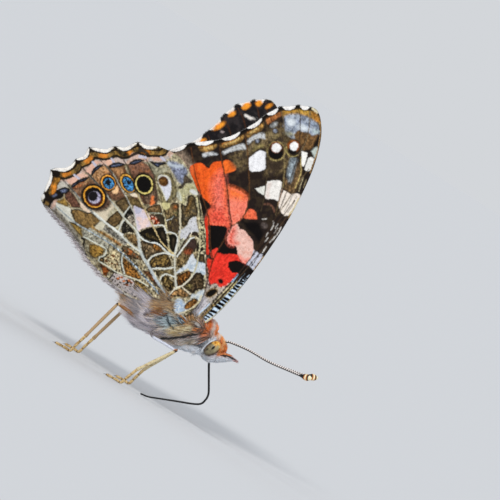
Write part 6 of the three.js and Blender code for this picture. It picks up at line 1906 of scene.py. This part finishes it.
def hind_upperside(face):
    everywhere = np.arange(len(face["x"]))
    face["colour"] = tone(face, everywhere, "dd6a2a", ("c9582a", 0.3, 0.4))
    black, brown = "1c1613", "6d4c33"
    patch(face, [
        (4, 9), (4, 16), (-1, 22), (-6, 27.8), (-9.5, 28.2), (-9.0, 26.4), (-5.0, 24.0), (-4.6, 21.0),
        (-6.5, 18.4), (-6.0, 16.6), (-11, 14.9), (-17, 13.9), (-20.5, 14.6), (-20, 12), (-10, 9)
    ], brown, edge=0.8, speckle=("8a6542", 0.4, 0.4))
    for centre, size in [((-14.5, 18.1), 0.95), ((-13.9, 20.55), 0.8), ((-11.75, 21.8), 0.75),
                         ((-10.0, 22.75), 0.85), ((-8.0, 24.2), 0.6)]:
        oval(face, centre, (size, size * 0.85), -20, black, edge=0.1)
    for points in [[(-8.85, 26.3), (-10.6, 25.8)], [(-11.7, 25.2), (-12.8, 24.3)],
                   [(-13.5, 23.6), (-14.7, 22.6)], [(-15.8, 22.0), (-16.2, 20.5)],
                   [(-16.5, 19.6), (-17.4, 17.9)], [(-17.9, 17.1), (-18.7, 16.3)]]:
        streak(face, points, 0.55, black, edge=0.12)
    margin = margin_line(hind_margin)
    places = near(face, margin, 2.0)
    away, _ = to_line(face["x"][places], face["z"][places], margin)
    dust(face, places, np.clip((1.05 - away) / 0.1 + 0.5, 0, 1), shade(black))
    band = np.clip((0.9 - away) / 0.12 + 0.5, 0, 1) * np.clip((away - 0.55) / 0.1 + 0.5, 0, 1)
    dust(face, places, band, shade("b06a35"))
    for name in hind_veins:
        streak(face, hind_veins[name], 0.14, "4f301c", edge=0.06, strength=0.8)
    white_part = np.clip((0.34 - away) / 0.07 + 0.5, 0, 1)
    for run in hind_margin:
        for tip in (run[0], run[-1]):
            white_part = white_part * np.clip(
                (np.hypot(face["x"][places] - tip[0], face["z"][places] - tip[1]) - 0.4) / 0.1 + 0.5, 0, 1)
    dust(face, places, white_part, shade("eeeae2"))


def wing_place(x, z, lift, side, layer, back):
    """Places on a wing, lifted off its middle surface, from places on its chart.
    The chart is the wing as seen from the side at the right pair's lean, before the wing is drawn back."""
    dx, dz = x - FORE_PIVOT[0], z - FORE_PIVOT[1]
    x = FORE_PIVOT[0] + dx * np.cos(back) - dz * np.sin(back)
    z = FORE_PIVOT[1] + dx * np.sin(back) + dz * np.cos(back)
    up = (z - HINGE_Z) / np.cos(WING_LEAN[-1])
    camber = WING_CAMBER * np.sin(np.pi * np.clip((z - HINGE_Z) / WING_HEIGHT, 0, 1))
    fold = INNER_FOLD * np.clip((9.92 - 0.303 * x - z) / 2, 0, 1) ** 2 * smooth_step(-x, 2.5, 4.5)
    out = FORE_ROOT_OUT + layer * (HIND_OVER_FORE - fold) + up * np.sin(WING_LEAN[side]) + camber
    return np.column_stack([x, side * (out + lift), HINGE_Z + up * np.cos(WING_LEAN[side])])


ROW_SHARE = 0.866  # of the spacing, between rows of triangles with even sides


def wing_chart(outline, spacing):
    """Corners over the inside of an outline, the outline's own first, and triangles between them."""
    low, high = outline.min(axis=0), outline.max(axis=0)
    rows = []
    for n, z in enumerate(np.arange(low[1], high[1], spacing * ROW_SHARE)):
        across = np.arange(low[0] + (n % 2) * spacing / 2, high[0], spacing)
        rows.append(np.column_stack([across, np.full(len(across), z)]))
    grid = np.vstack(rows)
    grid = grid[within(grid[:, 0], grid[:, 1], outline)]
    away, _ = to_line(grid[:, 0], grid[:, 1], np.vstack([outline, outline[:1]]))
    points = np.vstack([outline, grid[away > spacing * 0.55]])
    count = len(outline)
    found = delaunay_2d_cdt([Vector(p) for p in points.tolist()], [], [list(range(count))], 1, 1e-6, False)
    corners, triangles = np.array([p[:] for p in found[0]]), np.array([f[:] for f in found[2]])
    middles = corners[triangles].mean(axis=1)
    return corners, triangles[within(middles[:, 0], middles[:, 1], outline)]


def vein_relief(x, z, veins):
    """Raised veins, with the membrane slightly domed between them."""
    nearest = np.full(x.shape, np.inf)
    for path in veins.values():
        line = flowing(path, step=0.5)
        away, _ = to_line(x, z, line)
        nearest = np.minimum(nearest, away)
    return VEIN_RISE * np.exp(-(nearest / 0.11) ** 2) + 0.05 * np.clip(nearest / 1.2, 0, 1)


def painted(chart, paint):
    """The colours that a wing's paint gives at the places of a chart, with the rough edges of scales."""
    x, z = chart[:, 0], chart[:, 1]
    drift_x = 0.09 * (mottle(x, z, 0.13, 1) - 0.5)
    drift_z = 0.09 * (mottle(x, z, 0.13, 2) - 0.5)
    face = {"x": x + drift_x, "z": z + drift_z, "colour": np.zeros((len(x), 3))}
    paint(face)
    return scaled_over(face["colour"], x, z)


def build_wing(side, layer, outer, inner, outline_count, back):
    """One wing as a closed body from its two painted faces, which share the outline."""
    placed = []
    for sign, (chart, triangles, rise, colours) in ((1, outer), (-1, inner)):
        half = np.where(np.arange(len(chart)) < outline_count, 0, MEMBRANE + rise)
        placed.append(wing_place(chart[:, 0], chart[:, 1], sign * half, side, layer, back))
    points = np.vstack([placed[0], placed[1][outline_count:]])
    colours = np.vstack([outer[3], inner[3][outline_count:]])
    under = inner[1] + (inner[1] >= outline_count) * (len(outer[0]) - outline_count)
    triangles = np.vstack([outer[1], under[:, ::-1]])
    return points, outward(points, triangles), colours


wing_kinds = {
    "forewing": (0, fore_front, fore_margin, fore_inner, fore_veins, fore_underside, fore_upperside),
    "hindwing": (1, hind_front, hind_margin, hind_inner, hind_veins, hind_underside, hind_upperside),
}
OUTER_SPACING = 0.085
INNER_SPACING = 0.14
wing_finish, wing_shader, wing_colour = new_finish("wing_scales", roughness=0.8, specular=0.06, sheen=0.03)
add_grain(wing_finish, wing_shader, wing_colour, 0.07, 0.16, 0.02)
for kind, (layer, front, margin, inner_edge, veins, paint_outer, paint_inner) in wing_kinds.items():
    outline = np.vstack([flowing(front, step=0.1)[:-1]] + [flowing(run, step=0.1)[:-1] for run in margin]
                        + [flowing(inner_edge, step=0.1)[:-1]])
    faces = []
    for spacing, paint in ((OUTER_SPACING, paint_outer), (INNER_SPACING, paint_inner)):
        chart, triangles = wing_chart(outline, spacing)
        rise = vein_relief(chart[:, 0], chart[:, 1], veins)
        faces.append((chart, triangles, rise, painted(chart, paint)))
    for name, side in SIDES.items():
        back = LEFT_FORE_BACK if (kind, side) == ("forewing", 1) else 0.0
        points, triangles, colours = build_wing(side, layer, *faces, len(outline), back)
        make_piece(f"scaled_{kind}_{name}", points, triangles, wing_finish,
                   (f"{kind}_{name}",), colours=colours)


# Fringes and wing hair
# Hair-like scales edge the outer margins, and longer soft hairs the hindwings' inner edges and roots.
fringe_draw = np.random.default_rng(8)


def wing_strands(roots, tips, side, layer, back, girth, lift, colours, tip_tone=1.1):
    """Strands between places on a wing's chart."""
    start = wing_place(roots[:, 0], roots[:, 1], lift, side, layer, back)
    end = wing_place(tips[:, 0], tips[:, 1], lift, side, layer, back)
    length = np.linalg.norm(end - start, axis=1)
    out = np.tile([0.0, side, 0.0], (len(roots), 1))
    places = np.column_stack([0.25 + 0.01 * roots[:, 0] + 0.5 * (side > 0), 0.05 + 0.02 * roots[:, 1]])
    lie = (end - start) / length[:, None]
    zero = np.zeros(len(roots))
    return strands(start, lie, out, length, girth, zero, zero, colours, places, tip_tone)


def margin_fringe(runs, paint, reach):
    """Fringe scales along an outer margin: roots, tips and colours on the chart."""
    line = np.vstack([flowing(run, step=0.05)[:-1] for run in runs])
    ahead = np.gradient(line, axis=0)
    ahead /= np.linalg.norm(ahead, axis=1)[:, None]
    outwards = np.column_stack([-ahead[:, 1], ahead[:, 0]])
    middle = np.array([-2.0, 22.0])
    if ((line - middle) * outwards).sum() < 0:
        outwards = -outwards
    some = np.repeat(np.arange(len(line)), 3)
    roots = line[some] - outwards[some] * fringe_draw.uniform(0.16, 0.34, (len(some), 1))
    roots += ahead[some] * fringe_draw.uniform(-0.03, 0.03, (len(some), 1))
    tips = line[some] + outwards[some] * fringe_draw.uniform(-0.02, reach, (len(some), 1))
    tips += ahead[some] * fringe_draw.normal(0, 0.05, (len(some), 1))
    face = {"x": roots[:, 0], "z": roots[:, 1], "colour": np.zeros((len(roots), 3))}
    paint(face)
    return roots, tips, face["colour"]


def edge_hairs(path, count, length, spread, direction, codes, inset=0.15):
    """Loose hairs rooted along a line of the chart, lying one way."""
    line = flowing(path, step=0.05)
    some = fringe_draw.integers(0, len(line), count)
    roots = line[some] + fringe_draw.normal(0, inset, (count, 2))
    angle = np.radians(direction) + fringe_draw.normal(0, np.radians(spread), count)
    reach = length * fringe_draw.uniform(0.5, 1.2, count)[:, None]
    tips = roots + np.column_stack([np.cos(angle), np.sin(angle)]) * reach
    colours = np.array([shade(code) for code in codes])[fringe_draw.integers(0, len(codes), count)]
    return roots, tips, colours * fringe_draw.uniform(0.75, 1.2, (count, 1))


greys = ("8f8984", "b9b3ab", "6e665f", "a39a8c")
lilacs = ("c6bfc8", "b2aab4", "e0dadd", "8f8790", "cfc5c1")
tans = ("b08a5c", "8f6a42", "c9a878", "9a8a78", "6e5238")
hind_hairs = [
    edge_hairs([(-5, 9.75), (-8, 10.05), (-10.2, 10.6), (-12.3, 11.5), (-15, 12.7), (-18.5, 13.7)], 750, 0.8,
               7, 188, ("dad2d4", "bcb2b5", "e6e0e2", "8f868a"), 0.12),
    edge_hairs([(0.8, 8.6), (-0.3, 9.2), (-1.0, 10.1), (-1.6, 10.6)], 1300, 3.2, 8, 181, lilacs, 0.35),
    edge_hairs([(1.3, 11.9), (0.2, 11.3), (-1.0, 10.7)], 420, 1.5, 12, 202, tans, 0.3),
    edge_hairs([(0.2, 12.3), (-0.5, 12.4)], 90, 0.9, 20, 165, tans, 0.3),
]
fore_hairs = [edge_hairs([(2.9, 11.1), (4.2, 11.3), (5.3, 11.4)], 480, 1.0, 22, 125, tans + greys, 0.28)]
for kind, layer, runs, paint, loose in (("forewing", 0, fore_margin, fore_underside, fore_hairs),
                                        ("hindwing", 1, hind_margin, hind_underside, hind_hairs)):
    roots, tips, colours = margin_fringe(runs, paint, 0.12)
    for name, side in SIDES.items():
        back = LEFT_FORE_BACK if (kind, side) == ("forewing", 1) else 0.0
        girth = fringe_draw.uniform(0.018, 0.03, len(roots))
        shapes = [wing_strands(roots, tips, side, layer, back, girth, 0.03, colours)]
        for hair_roots, hair_tips, hair_tones in loose:
            girth = fringe_draw.uniform(0.018, 0.034, len(hair_roots))
            shapes.append(wing_strands(hair_roots, hair_tips, side, layer, back, girth, 0.14, hair_tones))
        points, triangles, colours_all, places = joined(shapes)
        make_piece(f"{kind}_fringe_{name}", points, triangles, hair_finish,
                   colours=colours_all, bake_map=places)


# Floor, light and camera
floor_mesh = bpy.data.meshes.new("floor")
floor_mesh.from_pydata([(-60, -60, 0), (60, -60, 0), (60, 60, 0), (-60, 60, 0)], [], [(0, 1, 2, 3)])
floor = bpy.data.objects.new("floor", floor_mesh)
bpy.context.scene.collection.objects.link(floor)
floor_finish = bpy.data.materials.new("floor")
floor_finish.use_nodes = True
floor_shader = floor_finish.node_tree.nodes["Principled BSDF"]
floor_shader.inputs["Base Color"].default_value = (0.618, 0.63, 0.649, 1)
floor_shader.inputs["Roughness"].default_value = 0.9
floor_shader.inputs["Specular IOR Level"].default_value = 0.0
floor_mesh.materials.append(floor_finish)

world = bpy.data.worlds.new("studio")
world.use_nodes = True
backdrop = world.node_tree.nodes["Background"]
backdrop.inputs["Color"].default_value = (0.93, 0.96, 1.0, 1)
backdrop.inputs["Strength"].default_value = 0.7
bpy.context.scene.world = world


def add_sun(name, towards, strength, spread, colour):
    lamp = bpy.data.lights.new(name, "SUN")
    lamp.energy = strength
    lamp.angle = np.radians(spread)
    lamp.color = colour
    sun = bpy.data.objects.new(name, lamp)
    sun.rotation_mode = "QUATERNION"
    sun.rotation_quaternion = Vector(towards).to_track_quat("-Z", "Y")
    bpy.context.scene.collection.objects.link(sun)


add_sun("key", (0.25, 0.8, -0.62), 1.5, 14, (1.0, 0.98, 0.95))
add_sun("fill", (-0.5, -0.8, -0.4), 0.9, 40, (0.95, 0.97, 1.0))

CAMERA_TURN = np.radians(3.0)
CAMERA_RISE = np.radians(1.2)
CAMERA_ROLL = np.radians(32)
CAMERA_DISTANCE = 1.0
aim = Vector((5.56, -3.0 + BODY_Y, 22.8)) * MM
back_along = Vector((np.sin(CAMERA_TURN) * np.cos(CAMERA_RISE), -np.cos(CAMERA_TURN) * np.cos(CAMERA_RISE),
                     np.sin(CAMERA_RISE)))
camera = bpy.data.objects.new("camera", bpy.data.cameras.new("camera"))
camera.data.sensor_width = 36
camera.data.lens = 576
camera.data.clip_start = 0.05
camera.data.clip_end = 200
camera.rotation_mode = "QUATERNION"
level = (-back_along).to_track_quat("-Z", "Y")
camera.rotation_quaternion = level @ Matrix.Rotation(CAMERA_ROLL, 3, "Z").to_quaternion()
camera.location = aim + back_along * CAMERA_DISTANCE
bpy.context.scene.collection.objects.link(camera)
bpy.context.scene.camera = camera
bpy.context.scene.view_settings.view_transform = "Standard"
